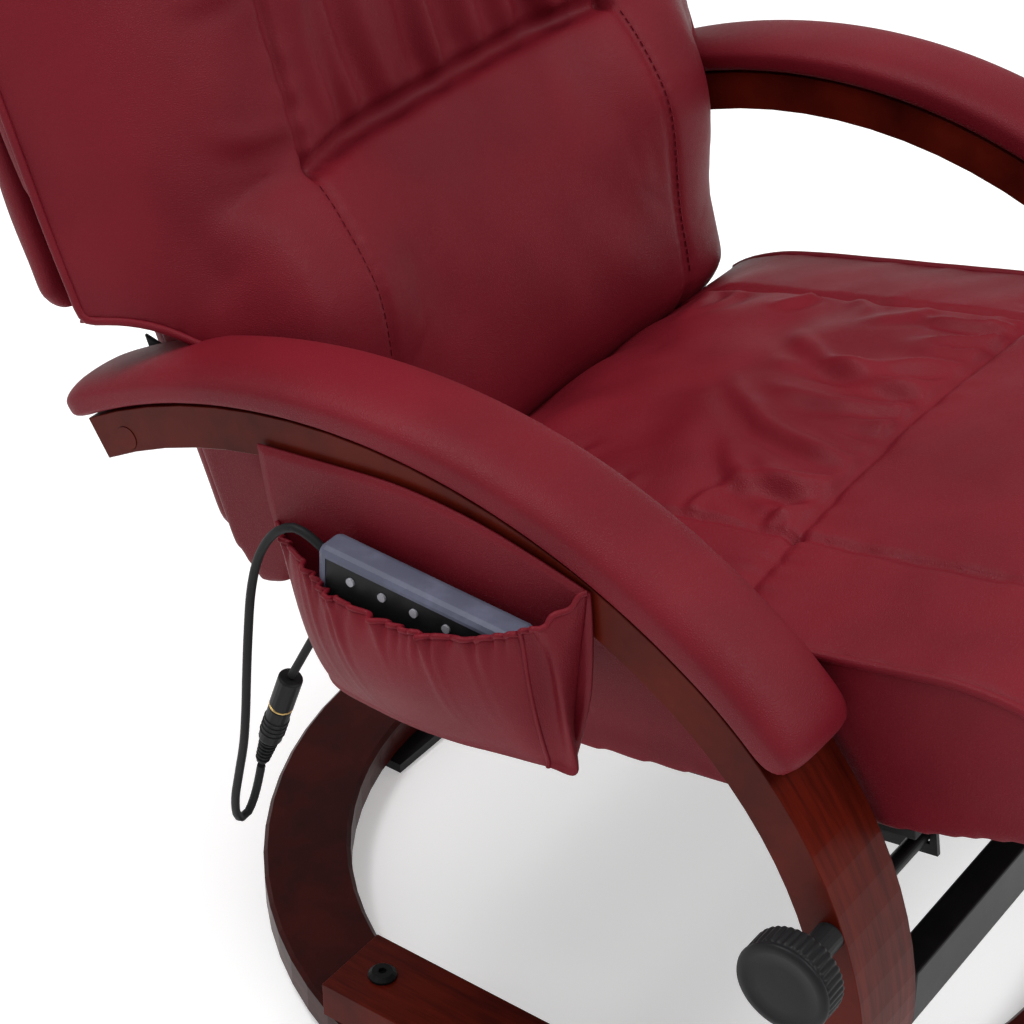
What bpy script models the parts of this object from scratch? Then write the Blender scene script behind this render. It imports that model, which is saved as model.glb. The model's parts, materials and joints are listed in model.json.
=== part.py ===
"""Massage recliner armchair: bentwood C-arms on a wooden floor ring, a reclining back and a sliding seat.

Metres, +Z up. The origin is on the floor under the middle of the rear foot, the chair faces
-Y, and the sitter's right arm is at -X. The sizes below count from the centre of the ring,
and main() moves everything so that the rear foot stands at the origin. Each named object
is one physical piece.
"""

import math

import bmesh
import bpy
from mathutils import Matrix, Vector

COLLECTION = "massage_recliner"
FIT = 0.0003                 # gap between pieces that touch
RUN = 0.0001                 # radial play of a pin or rod in its hole
CLEAR = 0.0005               # radial play of a bolt in its clearance hole

# Floor ring
RING_R = 0.320
RING_BAND = 0.0614
RING_THICK = 0.028
FOOT_H = 0.008
FOOT_R = 0.020
REAR_FOOT = (0.100, 0.048)   # along X, along Y
REAR_FOOT_Y = RING_R - 0.0503   # its middle, behind the centre of the ring
RING_TOP = FOOT_H + RING_THICK

# Bentwood arms: one strip each, bent from the ring up to the armrest
ARM_GAP = 2 * (RING_R - 0.072)   # clear width between the two arms, which stand on the ring's band
ARM_W = 0.058                # width of the strip, along X
ARM_T = 0.027                # thickness of the strip, in its bending plane
ARM_FOOT_Y = 0.108           # rear end of the part that lies on the ring
ARM_FOOT_L = 0.203           # straight length on the ring
ARM_BENDS = ((0.1705, 98.6), (0.2515, 48.1), (0.3855, 65.1))   # centreline radius, degrees
ARM_X = ARM_GAP / 2 + ARM_W / 2
PAD_T = 0.027                # armrest pad above the wood
PAD_SIDE = 0.004             # pad beyond the wood on each side
PAD_FROM = 137.0             # bend angle where the pad begins, at the front
BASE_BOLT_Y = (0.081, -0.070)
BASE_BOLT_HEAD_R = 0.0095
BASE_BOLT_HEAD_H = 0.004
BASE_BOLT_R = 0.004
BASE_BOLT_DEPTH = 0.020      # into the ring

# Steel between the arms
TUBE_Y = (-0.278, -0.258)
TUBE_Z = (0.206, 0.246)
TUBE_WALL = 0.002
ROD_Y, ROD_Z, ROD_R = -0.252, 0.305, 0.005
KNOB_FACE_X = -(ARM_GAP / 2 + ARM_W + 0.051)
KNOB_T = 0.020
KNOB_R = 0.028
KNOB_LOBES = 30
KNOB_BORE_R = 0.0075         # the brass insert's seat
SLEEVE_R = 0.0085

# Back, in its own tilted frame: x, depth to the rear, and height along the back
BACK_Y, BACK_Z, BACK_TILT = 0.160, 0.330, 20.0
BACK_LOW_HALF = ARM_GAP / 2 - 0.008    # half width between the arms
BACK_WING_HALF = ARM_GAP / 2 + 0.062   # half width above the arms
BACK_WING_FROM = 0.190
BACK_TOP = 0.690
BACK_T = 0.058
BACK_PANEL_T = 0.009
BACK_COVER_T = 0.006
BACK_BULGE = 0.022           # lumbar swell in front of the back's plane
WING_SET = 0.038             # the wings' front edge behind the back's plane
WING_FULL = 0.024            # the bolsters in front of the back's plane
PIVOT_Y, PIVOT_Z = 0.2377, 0.4330
PIVOT_BOLT_R = 0.004
PLUG_R = 0.0075
PLUG_T = 0.004
BRACKET_T = 0.003

# Seat, in its own tilted frame: x, y to the rear, and height above its panel
SEAT_Y, SEAT_Z, SEAT_TILT = 0.150, 0.2645, 9.1
SEAT_HALF = ARM_GAP / 2 - 0.010
SEAT_LEN = 0.530
SEAT_REAR_T, SEAT_FRONT_T = 0.070, 0.110
SEAT_CROWN = 0.016
SEAT_BACK_GAP = 0.005
PANEL_T = 0.007
RAIL_T = 0.003
RAIL_X = SEAT_HALF - 0.033
SEAT_TRAVEL = 0.057

# Vibration motors: flat discs in pockets behind the foam
MOTOR_R, MOTOR_T = 0.026, 0.020
BACK_MOTORS = ((-0.10, 0.13), (0.10, 0.13), (-0.10, 0.36), (0.10, 0.36))
SEAT_MOTORS = ((-0.09, -0.20), (0.09, -0.20))

# Side pocket, remote control and its cord
POCKET_WALL = 0.0025
POCKET_TOP = RING_TOP + ARM_T + 0.4165   # its highest point, just under the armrest pad
POCKET_BACK_X = -ARM_GAP / 2 - ARM_W - 0.0010
POCKET_DEPTH = 0.036
REMOTE_LEN, REMOTE_W, REMOTE_T = 0.136, 0.050, 0.020
REMOTE_AT = (POCKET_BACK_X - 0.020, 0.000, 0.4150)
REMOTE_LEAN = 2.7
BUTTON_R, BUTTON_H = 0.0026, 0.0016
BUTTONS = (-0.044, -0.022, 0.0, 0.022, 0.044)
BUTTON_Z = 0.011
CORD_R = 0.00275
WIRING_X = POCKET_BACK_X + 0.307   # the wiring's points below move out with the pocket
CORD_ROUTE = (
    (-0.3270, 0.0695, 0.4330), (-0.3275, 0.0790, 0.4385), (-0.3285, 0.0900, 0.4410),
    (-0.3295, 0.1010, 0.4350), (-0.3300, 0.1105, 0.4230), (-0.3300, 0.1185, 0.4060),
    (-0.3295, 0.1250, 0.3820), (-0.3290, 0.1295, 0.3530), (-0.3280, 0.1340, 0.3200),
    (-0.3265, 0.1385, 0.2870), (-0.3245, 0.1440, 0.2580), (-0.3225, 0.1515, 0.2300),
    (-0.3205, 0.1580, 0.2060), (-0.3165, 0.1620, 0.1880), (-0.3100, 0.1640, 0.1790),
    (-0.3030, 0.1645, 0.1790), (-0.2985, 0.1630, 0.1880), (-0.2963, 0.1605, 0.2010),
    (-0.2952, 0.1580, 0.2145),
)
PLUG_AXIS = ((-0.2950, 0.1573, 0.2190), (-0.2915, 0.1173, 0.3341))
PLUG_RELIEF = 0.022
PLUG_LEN = 0.031
SOCKET_LEN = 0.026
PLUG_BODY_R = 0.0076
BOX_LO, BOX_HI = (-0.3066, 0.020, 0.3640), (-0.2770, 0.104, 0.4080)
INLET_X, INLET_Z = WIRING_X - 0.2915, 0.386


def clear_scene() -> None:
    """Remove whatever objects the file holds."""
    for obj in list(bpy.data.objects):
        bpy.data.objects.remove(obj, do_unlink=True)


def collection(name: str) -> bpy.types.Collection:
    """Return a collection of that name, linked to the scene."""
    found = bpy.data.collections.get(name) or bpy.data.collections.new(name)
    if found.name not in bpy.context.scene.collection.children:
        bpy.context.scene.collection.children.link(found)
    return found


def finish(obj, colour, roughness, metallic=0.0):
    """Give a piece its own material and its place in the collection."""
    mat = bpy.data.materials.new(obj.name)
    mat.use_nodes = True
    shader = mat.node_tree.nodes["Principled BSDF"]
    shader.inputs["Base Color"].default_value = (*colour, 1.0)
    shader.inputs["Roughness"].default_value = roughness
    shader.inputs["Metallic"].default_value = metallic
    obj.data.materials.clear()
    obj.data.materials.append(mat)
    for owner in list(obj.users_collection):
        owner.objects.unlink(obj)
    collection(COLLECTION).objects.link(obj)
    if obj.type == "MESH":
        obj.data.shade_smooth()
        obj.data.set_sharp_from_angle(angle=math.radians(35))
    return obj


def leather(obj):
    """Wine-red faux leather."""
    return finish(obj, (0.17, 0.012, 0.024), 0.42)


def wood(obj):
    """Dark mahogany lacquer."""
    return finish(obj, (0.050, 0.010, 0.007), 0.25)


def black_steel(obj):
    """Black powder-coated steel."""
    return finish(obj, (0.010, 0.010, 0.011), 0.40, 0.6)


def black_plastic(obj):
    """Black moulded plastic."""
    return finish(obj, (0.012, 0.012, 0.013), 0.45)


def mesh_object(name, bm):
    """Make a scene object from a bmesh, with its faces pointing out."""
    bmesh.ops.recalc_face_normals(bm, faces=bm.faces)
    mesh = bpy.data.meshes.new(name)
    bm.to_mesh(mesh)
    bm.free()
    obj = bpy.data.objects.new(name, mesh)
    bpy.context.scene.collection.objects.link(obj)
    return obj


def round_edges(obj, width, segments=2):
    """Add a bevel to the sharp edges."""
    mod = obj.modifiers.new("edges", "BEVEL")
    mod.width = width
    mod.segments = segments
    mod.limit_method = "ANGLE"
    mod.angle_limit = math.radians(40)
    mod.harden_normals = False
    return obj


def block(name, low, high, edge=0.0):
    """A box between two corners."""
    bm = bmesh.new()
    bmesh.ops.create_cube(bm, size=1.0)
    size = Vector(high) - Vector(low)
    bmesh.ops.scale(bm, vec=size, verts=bm.verts)
    bmesh.ops.translate(bm, vec=(Vector(high) + Vector(low)) / 2, verts=bm.verts)
    obj = mesh_object(name, bm)
    return round_edges(obj, edge) if edge else obj


def rod(name, start, end, radius, sides=24, end_radius=None, edge=0.0):
    """A round bar between two points, tapered if the end has its own radius."""
    start, end = Vector(start), Vector(end)
    span = end - start
    bm = bmesh.new()
    bmesh.ops.create_cone(bm, cap_ends=True, segments=sides, radius1=radius,
                          radius2=radius if end_radius is None else end_radius, depth=span.length)
    turn = Vector((0, 0, 1)).rotation_difference(span).to_matrix().to_4x4()
    bmesh.ops.transform(bm, matrix=Matrix.Translation((start + end) / 2) @ turn, verts=bm.verts)
    obj = mesh_object(name, bm)
    return round_edges(obj, edge) if edge else obj


def sheet(name, outline, x_low, x_high, edge=0.0, segments=2):
    """A flat outline in the YZ plane, filled and thickened along X."""
    curve = bpy.data.curves.new(name, "CURVE")
    curve.dimensions = "2D"
    curve.fill_mode = "BOTH"
    curve.extrude = (x_high - x_low) / 2
    spline = curve.splines.new("POLY")
    spline.points.add(len(outline) - 1)
    for point, (y, z) in zip(spline.points, outline):
        point.co = (y, z, 0.0, 1.0)
    spline.use_cyclic_u = True
    guide = bpy.data.objects.new(name + "_curve", curve)
    bpy.context.scene.collection.objects.link(guide)
    guide.matrix_world = Matrix(((0, 0, 1, (x_low + x_high) / 2), (1, 0, 0, 0), (0, 1, 0, 0), (0, 0, 0, 1)))
    obj = baked_curve(name, guide)
    return round_edges(obj, edge, segments) if edge else obj


def baked_curve(name, guide):
    """Turn a curve object into a welded mesh object in world space."""
    bpy.context.view_layer.update()
    mesh = bpy.data.meshes.new_from_object(guide.evaluated_get(bpy.context.evaluated_depsgraph_get()))
    mesh.transform(guide.matrix_world)
    bpy.data.objects.remove(guide, do_unlink=True)
    bm = bmesh.new()
    bm.from_mesh(mesh)
    bpy.data.meshes.remove(mesh)
    bmesh.ops.remove_doubles(bm, verts=bm.verts, dist=1e-5)
    return mesh_object(name, bm)


def loft(name, rings):
    """A closed solid through rings of points, with both ends filled."""
    bm = bmesh.new()
    rows = [[bm.verts.new(p) for p in ring] for ring in rings]
    count = len(rings[0])
    for low, high in zip(rows, rows[1:]):
        for i in range(count):
            j = (i + 1) % count
            bm.faces.new((low[i], low[j], high[j], high[i]))
    bm.faces.new(rows[0])
    bm.faces.new(rows[-1])
    return mesh_object(name, bm)


def lathe(name, profile, sides, matrix=Matrix.Identity(4)):
    """A turned piece: (radius, height) points from the top of its outer side down, closed."""
    bm = bmesh.new()
    rows = []
    for k in range(sides):
        angle = math.tau * k / sides
        rows.append([bm.verts.new(matrix @ Vector((r * math.cos(angle), r * math.sin(angle), h)))
                     for r, h in profile])
    for k in range(sides):
        here, there = rows[k], rows[(k + 1) % sides]
        for i in range(len(profile)):
            j = (i + 1) % len(profile)
            bm.faces.new((here[i], here[j], there[j], there[i]))
    return mesh_object(name, bm)


def cut(obj, cutter):
    """Cut one piece with a helper solid that isn't part of the chair."""
    for owner in list(cutter.users_collection):
        owner.objects.unlink(cutter)
    collection("cutters").objects.link(cutter)
    cutter.hide_render = True
    cutter.display_type = "WIRE"
    mod = obj.modifiers.new("cut", "BOOLEAN")
    mod.operation = "DIFFERENCE"
    mod.object = cutter
    return obj


def group(name, matrix, children):
    """Place pieces modelled in a tilted frame by parenting them to an empty."""
    empty = bpy.data.objects.new(name, None)
    collection(COLLECTION).objects.link(empty)
    empty.matrix_world = matrix
    for child in children:
        child.parent = empty
        child.matrix_parent_inverse = Matrix.Identity(4)
    return empty


def hang(name, at, children):
    """Parent pieces to an empty on their joint's axis, and leave them where they are."""
    empty = bpy.data.objects.new(name, None)
    collection(COLLECTION).objects.link(empty)
    empty.location = at
    for child in children:
        child.parent = empty
        child.matrix_parent_inverse = Matrix.Translation(at).inverted()
    return empty


def arc_points(y, z, heading, bends, step=4.0):
    """Walk along tangent arcs in the YZ plane and list (y, z, heading) along the way."""
    found = [(y, z, heading)]
    for radius, turn in bends:
        inward = (math.sin(math.radians(heading)), math.cos(math.radians(heading)))
        cy, cz = y + radius * inward[0], z + radius * inward[1]
        steps = max(2, round(turn / step))
        for k in range(1, steps + 1):
            a = math.radians(heading + turn * k / steps)
            found.append((cy - radius * math.sin(a), cz - radius * math.cos(a), math.degrees(a)))
        heading += turn
        y, z = found[-1][:2]
    return found


def offset(point, distance):
    """A point moved to the outer side of the bent strip."""
    y, z, heading = point
    a = math.radians(heading)
    return y - distance * math.sin(a), z - distance * math.cos(a)


def arm_line():
    """The centreline of a bentwood arm, from its end on the ring to its upper rear end."""
    level = RING_TOP + FIT + ARM_T / 2
    start = (ARM_FOOT_Y, level, 0.0)
    return [start] + arc_points(ARM_FOOT_Y - ARM_FOOT_L, level, 0.0, ARM_BENDS)


def build_ring():
    """The floor ring, its feet and the bolt holes."""
    edge = 0.003
    inner = RING_R - RING_BAND
    profile = [(RING_R - edge, RING_TOP), (RING_R, RING_TOP - edge), (RING_R, FOOT_H + edge),
               (RING_R - edge, FOOT_H), (inner + edge, FOOT_H), (inner, FOOT_H + edge),
               (inner, RING_TOP - edge), (inner + edge, RING_TOP)]
    ring = wood(lathe("base_ring", profile, 72))
    for side in (-1, 1):
        for y in BASE_BOLT_Y:
            x = side * bolt_x()
            cut(ring, rod("ring_hole", (x, y, RING_TOP - BASE_BOLT_DEPTH), (x, y, RING_TOP + 0.01),
                          BASE_BOLT_R + CLEAR, 16))
    middle = RING_R - RING_BAND / 2
    for name, angle in (("foot_left", 0), ("foot_front", 270), ("foot_right", 180)):
        a = math.radians(angle)
        at = Vector((middle * math.cos(a), middle * math.sin(a), 0))
        black_plastic(rod(name, at, at + Vector((0, 0, FOOT_H - FIT)), FOOT_R, 20))
    half, deep = REAR_FOOT[0] / 2, REAR_FOOT[1] / 2
    foot = block("foot_rear", (-half, REAR_FOOT_Y - deep, 0), (half, REAR_FOOT_Y + deep, FOOT_H - FIT))
    black_plastic(foot)


def bolt_x():
    """Half the spacing of the base bolts, which stand in the middle of each arm."""
    return ARM_X


def build_arms():
    """Both bentwood arms with their pads, base bolts, plugs and pivot bolts."""
    line = arm_line()
    outline = [offset(p, ARM_T / 2) for p in line] + [offset(p, -ARM_T / 2) for p in reversed(line)]
    padded = [p for p in line if p[2] >= PAD_FROM]
    inside = [offset(p, ARM_T / 2 + FIT) for p in padded]
    outside = [offset(p, ARM_T / 2 + PAD_T) for p in padded]
    ends = [offset(p, ARM_T / 2 + PAD_T * 0.55) for p in (padded[0], padded[-1])]
    nose = Vector(ends[0]) + Vector((-0.010, -0.012))
    tail = Vector(ends[1]) + Vector((0.014, -0.009))
    pad_outline = inside + [tuple(tail)] + list(reversed(outside)) + [tuple(nose)]
    for side, name in ((-1, "right"), (1, "left")):
        low, high = side * ARM_X - ARM_W / 2, side * ARM_X + ARM_W / 2
        arm = wood(sheet("arm_" + name, outline, low, high, 0.003, 1))
        outer, inner = side * (ARM_X + ARM_W / 2), side * (ARM_X - ARM_W / 2)
        for k, y in enumerate(BASE_BOLT_Y):
            seat = RING_TOP + 2 * FIT + ARM_T
            x = side * bolt_x()
            cut(arm, rod("arm_hole", (x, y, RING_TOP - 0.01), (x, y, seat + 0.01), BASE_BOLT_R + CLEAR, 16))
            base_bolt(f"base_bolt_{name}_{k + 1}", x, y, seat)
        cut(arm, rod("arm_hole", (inner - side * 0.01, PIVOT_Y, PIVOT_Z),
                     (outer + side * 0.01, PIVOT_Y, PIVOT_Z), PIVOT_BOLT_R + RUN, 16))
        cut(arm, rod("arm_recess", (outer - side * (PLUG_T + 0.005), PIVOT_Y, PIVOT_Z),
                     (outer + side * 0.01, PIVOT_Y, PIVOT_Z), PLUG_R + FIT, 24))
        cut(arm, rod("arm_hole", (inner - side * 0.01, ROD_Y, ROD_Z), (outer + side * 0.01, ROD_Y, ROD_Z),
                     ROD_R + RUN, 20))
        wood(rod("arm_plug_" + name, (outer - side * PLUG_T, PIVOT_Y, PIVOT_Z),
                 (outer + side * 0.0005, PIVOT_Y, PIVOT_Z), PLUG_R, 24))
        pivot_bolt(name, side, outer)
        pad = sheet("arm_pad_" + name, pad_outline, low - PAD_SIDE, high + PAD_SIDE, 0.009, 3)
        leather(pad)


def base_bolt(name, x, y, seat):
    """A button-head bolt with a hex socket, standing on the arm at height seat."""
    reach = ARM_T + BASE_BOLT_DEPTH - 0.001
    profile = [(BASE_BOLT_HEAD_R * 0.72, BASE_BOLT_HEAD_H), (BASE_BOLT_HEAD_R, BASE_BOLT_HEAD_H * 0.4),
               (BASE_BOLT_HEAD_R, 0.0), (BASE_BOLT_R, 0.0), (BASE_BOLT_R, -reach)]
    bm_rows = [[(r * math.cos(math.tau * k / 20), r * math.sin(math.tau * k / 20), h) for k in range(20)]
               for r, h in profile]
    bolt = loft(name, bm_rows)
    bolt.location = (x, y, seat + FIT)
    socket = rod(name + "_socket", (x, y, seat + 0.0016), (x, y, seat + 0.02), 0.003, 6)
    black_steel(cut(bolt, socket))


def pivot_bolt(name, side, outer):
    """The bolt that the back turns on, with its washer between arm and bracket."""
    head = outer - side * (PLUG_T + 0.0048)
    inner = side * ARM_GAP / 2
    bracket = side * (BACK_LOW_HALF + FIT * 3 + BRACKET_T)
    tip = side * (BACK_LOW_HALF + FIT * 2)
    rows = []
    for x, r in ((head + side * 0.0042, PLUG_R - 0.0008), (head, PLUG_R - 0.0008),
                 (head, PIVOT_BOLT_R), (tip, PIVOT_BOLT_R)):
        rows.append([(x, PIVOT_Y + r * math.cos(math.tau * k / 20), PIVOT_Z + r * math.sin(math.tau * k / 20))
                     for k in range(20)])
    black_steel(loft("pivot_bolt_" + name, rows))
    washer = rod("pivot_washer_" + name, (bracket + side * FIT, PIVOT_Y, PIVOT_Z),
                 (inner - side * FIT, PIVOT_Y, PIVOT_Z), 0.010, 24)
    hole = rod("washer_hole", (bracket - side * 0.01, PIVOT_Y, PIVOT_Z),
               (inner + side * 0.01, PIVOT_Y, PIVOT_Z), PIVOT_BOLT_R + RUN, 20)
    finish(cut(washer, hole), (0.55, 0.55, 0.57), 0.3, 1.0)


def cross_rod(name, x_from, x_to, radius, sides=24):
    """A round bar on the clamp rod's axis."""
    return rod(name, (x_from, ROD_Y, ROD_Z), (x_to, ROD_Y, ROD_Z), radius, sides)


def build_crossbars():
    """The rectangular tube between the arms and the clamp rod above it."""
    half = ARM_GAP / 2 - FIT
    tube = block("front_cross_tube", (-half, TUBE_Y[0], TUBE_Z[0]), (half, TUBE_Y[1], TUBE_Z[1]), 0.0015)
    cut(tube, block("tube_bore", (-half - 0.01, TUBE_Y[0] + TUBE_WALL, TUBE_Z[0] + TUBE_WALL),
                    (half + 0.01, TUBE_Y[1] - TUBE_WALL, TUBE_Z[1] - TUBE_WALL)))
    black_steel(tube)
    outer = ARM_X + ARM_W / 2
    knob_back = KNOB_FACE_X + KNOB_T
    black_steel(cross_rod("clamp_rod", KNOB_FACE_X + 0.008, outer + 0.012, ROD_R))
    sleeve = cross_rod("clamp_sleeve", knob_back + FIT * 2, -outer - FIT, SLEEVE_R)
    black_plastic(cut(sleeve, cross_rod("sleeve_bore", knob_back - 0.01, -outer + 0.01, ROD_R + RUN)))
    nut = round_edges(cross_rod("clamp_nut", outer + FIT, outer + 0.014, 0.0095, 6), 0.0006)
    cut(nut, cross_rod("nut_bore", outer - 0.01, outer + 0.0125, ROD_R + RUN))
    finish(nut, (0.03, 0.03, 0.03), 0.35, 0.8)


def build_knob():
    """The knurled clamp knob and its brass insert, turning on the rod."""
    rows = []
    dome = 0.0035
    for x, scale in ((KNOB_FACE_X + KNOB_T, 0.97), (KNOB_FACE_X + KNOB_T - 0.0015, 1.0),
                     (KNOB_FACE_X + dome, 1.0), (KNOB_FACE_X + dome * 0.4, 0.94), (KNOB_FACE_X, 0.72)):
        ring = []
        for k in range(KNOB_LOBES * 3):
            dent = 0.0012 if k % 3 == 0 and scale > 0.95 else 0.0
            a = math.tau * k / (KNOB_LOBES * 3)
            r = KNOB_R * scale - dent
            ring.append((x, ROD_Y + r * math.cos(a), ROD_Z + r * math.sin(a)))
        rows.append(ring)
    knob = loft("clamp_knob", rows)
    back = KNOB_FACE_X + KNOB_T
    cut(knob, cross_rod("knob_bore", KNOB_FACE_X + 0.006, back + 0.01, KNOB_BORE_R))
    black_plastic(knob)
    bores = [mod.object for mod in knob.modifiers]
    insert = cross_rod("knob_insert", KNOB_FACE_X + 0.0065, back - FIT, KNOB_BORE_R - FIT)
    cut(insert, cross_rod("insert_bore", KNOB_FACE_X + 0.0072, back + 0.01, ROD_R + RUN))
    finish(insert, (0.70, 0.48, 0.18), 0.3, 1.0)
    bores += [mod.object for mod in insert.modifiers]
    hang("knob_axis", (0, ROD_Y, ROD_Z), [knob, insert] + bores)


def ease(value, low, high):
    """Rise smoothly from 0 at low to 1 at high."""
    t = min(max((value - low) / (high - low), 0.0), 1.0)
    return t * t * (3 - 2 * t)


def back_front(x, s):
    """Depth of the cushion's front face at (x, s): swollen in the middle, rolled back on the wings."""
    side = abs(x)
    along = math.sin(math.pi * min(max(s / BACK_TOP, 0), 1)) ** 0.5
    square = 7.0 - 5.0 * ease(s, 0.19, 0.25)
    middle = BACK_BULGE * max(0.0, 1 - (side / BACK_WING_HALF / 0.8) ** square) * along
    full = ease(s, 0.06, 0.17)
    edge = BACK_WING_HALF if s > BACK_WING_FROM - 0.02 else BACK_LOW_HALF + 0.06
    turn = max(0.0, (side - 0.16) / (edge - 0.16))
    roll = (WING_SET + WING_FULL * full) * turn ** (2.2 + 1.8 * full) - WING_FULL * full
    return roll * ease(side, 0.08, 0.17) - middle


def back_section(x, low, high):
    """One closed section of the back cushion, between two heights."""
    steps = 9
    front = []
    for k in range(steps + 1):
        s = low + (high - low) * k / steps
        ease = 0.018 * (abs(2 * k / steps - 1)) ** 6
        front.append((x, back_front(x, s) + ease, s))
    rear_low, rear_high = (x, BACK_T, low + 0.010), (x, BACK_T, high - 0.012)
    return front + [(x, BACK_T - 0.010, high), rear_high, rear_low, (x, BACK_T - 0.010, low)]


def build_back():
    """The reclining back: foam body, plywood panel, rear cover, brackets and motors."""
    tilt = math.radians(BACK_TILT)
    place = Matrix.Translation((0, BACK_Y, BACK_Z)) @ Matrix.Rotation(-tilt, 4, "X")
    half = [0.0, 0.08, 0.13, 0.18, BACK_LOW_HALF - 0.010]
    full = [-x for x in reversed(half)][:-1] + half
    rings = [back_section(-BACK_LOW_HALF, 0.004, BACK_TOP - 0.02)]
    rings += [back_section(x, 0.0, BACK_TOP - 0.012 * (abs(x) / 0.25) ** 2) for x in full]
    rings.append(back_section(BACK_LOW_HALF, 0.004, BACK_TOP - 0.02))
    cushion = loft("back_cushion", rings)
    wings = [build_wing(side, name) for side, name in ((-1, "right"), (1, "left"))]
    pieces = [cushion]
    for k, (x, s) in enumerate(BACK_MOTORS):
        pocket = rod(f"back_pocket_{k + 1}", (x, BACK_T - MOTOR_T - 0.001, s), (x, BACK_T + 0.02, s),
                     MOTOR_R + 0.001, 24)
        cut(cushion, pocket)
        motor = rod(f"back_motor_{k + 1}", (x, BACK_T - MOTOR_T, s), (x, BACK_T - FIT, s), MOTOR_R, 24,
                    edge=0.001)
        pieces += [black_plastic(motor), pocket]
    leather(cushion)
    panel = back_plate("back_panel", BACK_T + FIT, BACK_T + FIT + BACK_PANEL_T, 0.012)
    pieces.append(finish(panel, (0.45, 0.33, 0.20), 0.7))
    rear = BACK_T + BACK_PANEL_T + 2 * FIT
    pieces.append(leather(back_plate("back_rear_cover", rear, rear + BACK_COVER_T, 0.004)))
    tilted = group("back_place", place, pieces + wings)
    brackets = [build_bracket(name, side, place) for side, name in ((-1, "right"), (1, "left"))]
    hang("back_pivot", (0, PIVOT_Y, PIVOT_Z), [tilted] + brackets)


def build_wing(side, name):
    """One wing of the back: the padding beside the main cushion, above the arm."""
    rings = []
    stations = (BACK_LOW_HALF + FIT, BACK_LOW_HALF + 0.022, BACK_WING_HALF - 0.023, BACK_WING_HALF - 0.006,
                BACK_WING_HALF)
    for x in stations:
        drop = 0.022 + 0.03 * max(0.0, (x - BACK_LOW_HALF) / (BACK_WING_HALF - BACK_LOW_HALF)) ** 2
        rings.append(back_section(side * x, BACK_WING_FROM, BACK_TOP - drop))
    return leather(loft("back_wing_" + name, rings))


def back_plate(name, near, far, inset):
    """A T-shaped plate behind the cushion: narrow between the arms, wide above them."""
    low, wing = BACK_LOW_HALF - inset, BACK_WING_HALF - inset
    base, step, top = 0.010 + inset, BACK_WING_FROM + 0.010 + inset, BACK_TOP - 0.05 - inset
    right = [(low, base), (low, step), (wing, step), (wing, top - 0.03), (wing - 0.05, top)]
    outline = right + [(-x, s) for x, s in reversed(right)]
    bm = bmesh.new()
    front = [bm.verts.new((x, near, s)) for x, s in outline]
    back = [bm.verts.new((x, far, s)) for x, s in outline]
    bm.faces.new(front)
    bm.faces.new(back)
    for i in range(len(outline)):
        j = (i + 1) % len(outline)
        bm.faces.new((front[i], front[j], back[j], back[i]))
    return mesh_object(name, bm)


def build_bracket(name, side, place):
    """A steel plate on the side of the back, drilled for the pivot bolt."""
    near = side * (BACK_LOW_HALF + FIT * 3)
    far = near + side * BRACKET_T
    pivot = place.inverted() @ Vector((0, PIVOT_Y, PIVOT_Z))
    y_low, y_high = pivot.y - 0.013, BACK_T + BACK_PANEL_T
    outline = [(y_low, pivot.z - 0.013), (y_high, pivot.z - 0.030), (y_high, pivot.z + 0.040),
               (y_low, pivot.z + 0.013)]
    plate = sheet("back_bracket_" + name, outline, min(near, far), max(near, far), 0.0008, 1)
    hole = rod("bracket_hole", (near - side * 0.01, pivot.y, pivot.z), (far + side * 0.01, pivot.y, pivot.z),
               PIVOT_BOLT_R + RUN, 20)
    black_steel(cut(plate, hole))
    return group("bracket_place_" + name, place, [plate, hole])


def seat_section(x):
    """One closed section of the seat cushion at x."""
    rear, front = -SEAT_BACK_GAP - 0.006, -SEAT_LEN
    crown = SEAT_CROWN * max(0.0, 1 - (abs(x) / SEAT_HALF) ** 2)
    top = []
    steps = 7
    for k in range(steps + 1):
        t = k / steps
        y = rear + (front + 0.055 - rear) * t
        level = SEAT_REAR_T + (SEAT_FRONT_T - SEAT_REAR_T) * t
        top.append((x, y, level + crown * math.sin(math.pi * min(t + 0.1, 1)) ** 0.5))
    nose = [(x, front + 0.022, SEAT_FRONT_T - 0.010), (x, front, SEAT_FRONT_T - 0.042),
            (x, front + 0.012, 0.030), (x, front + 0.060, 0.008), (x, front + 0.110, 0.0)]
    return top + nose + [(x, rear, 0.0)]


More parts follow.
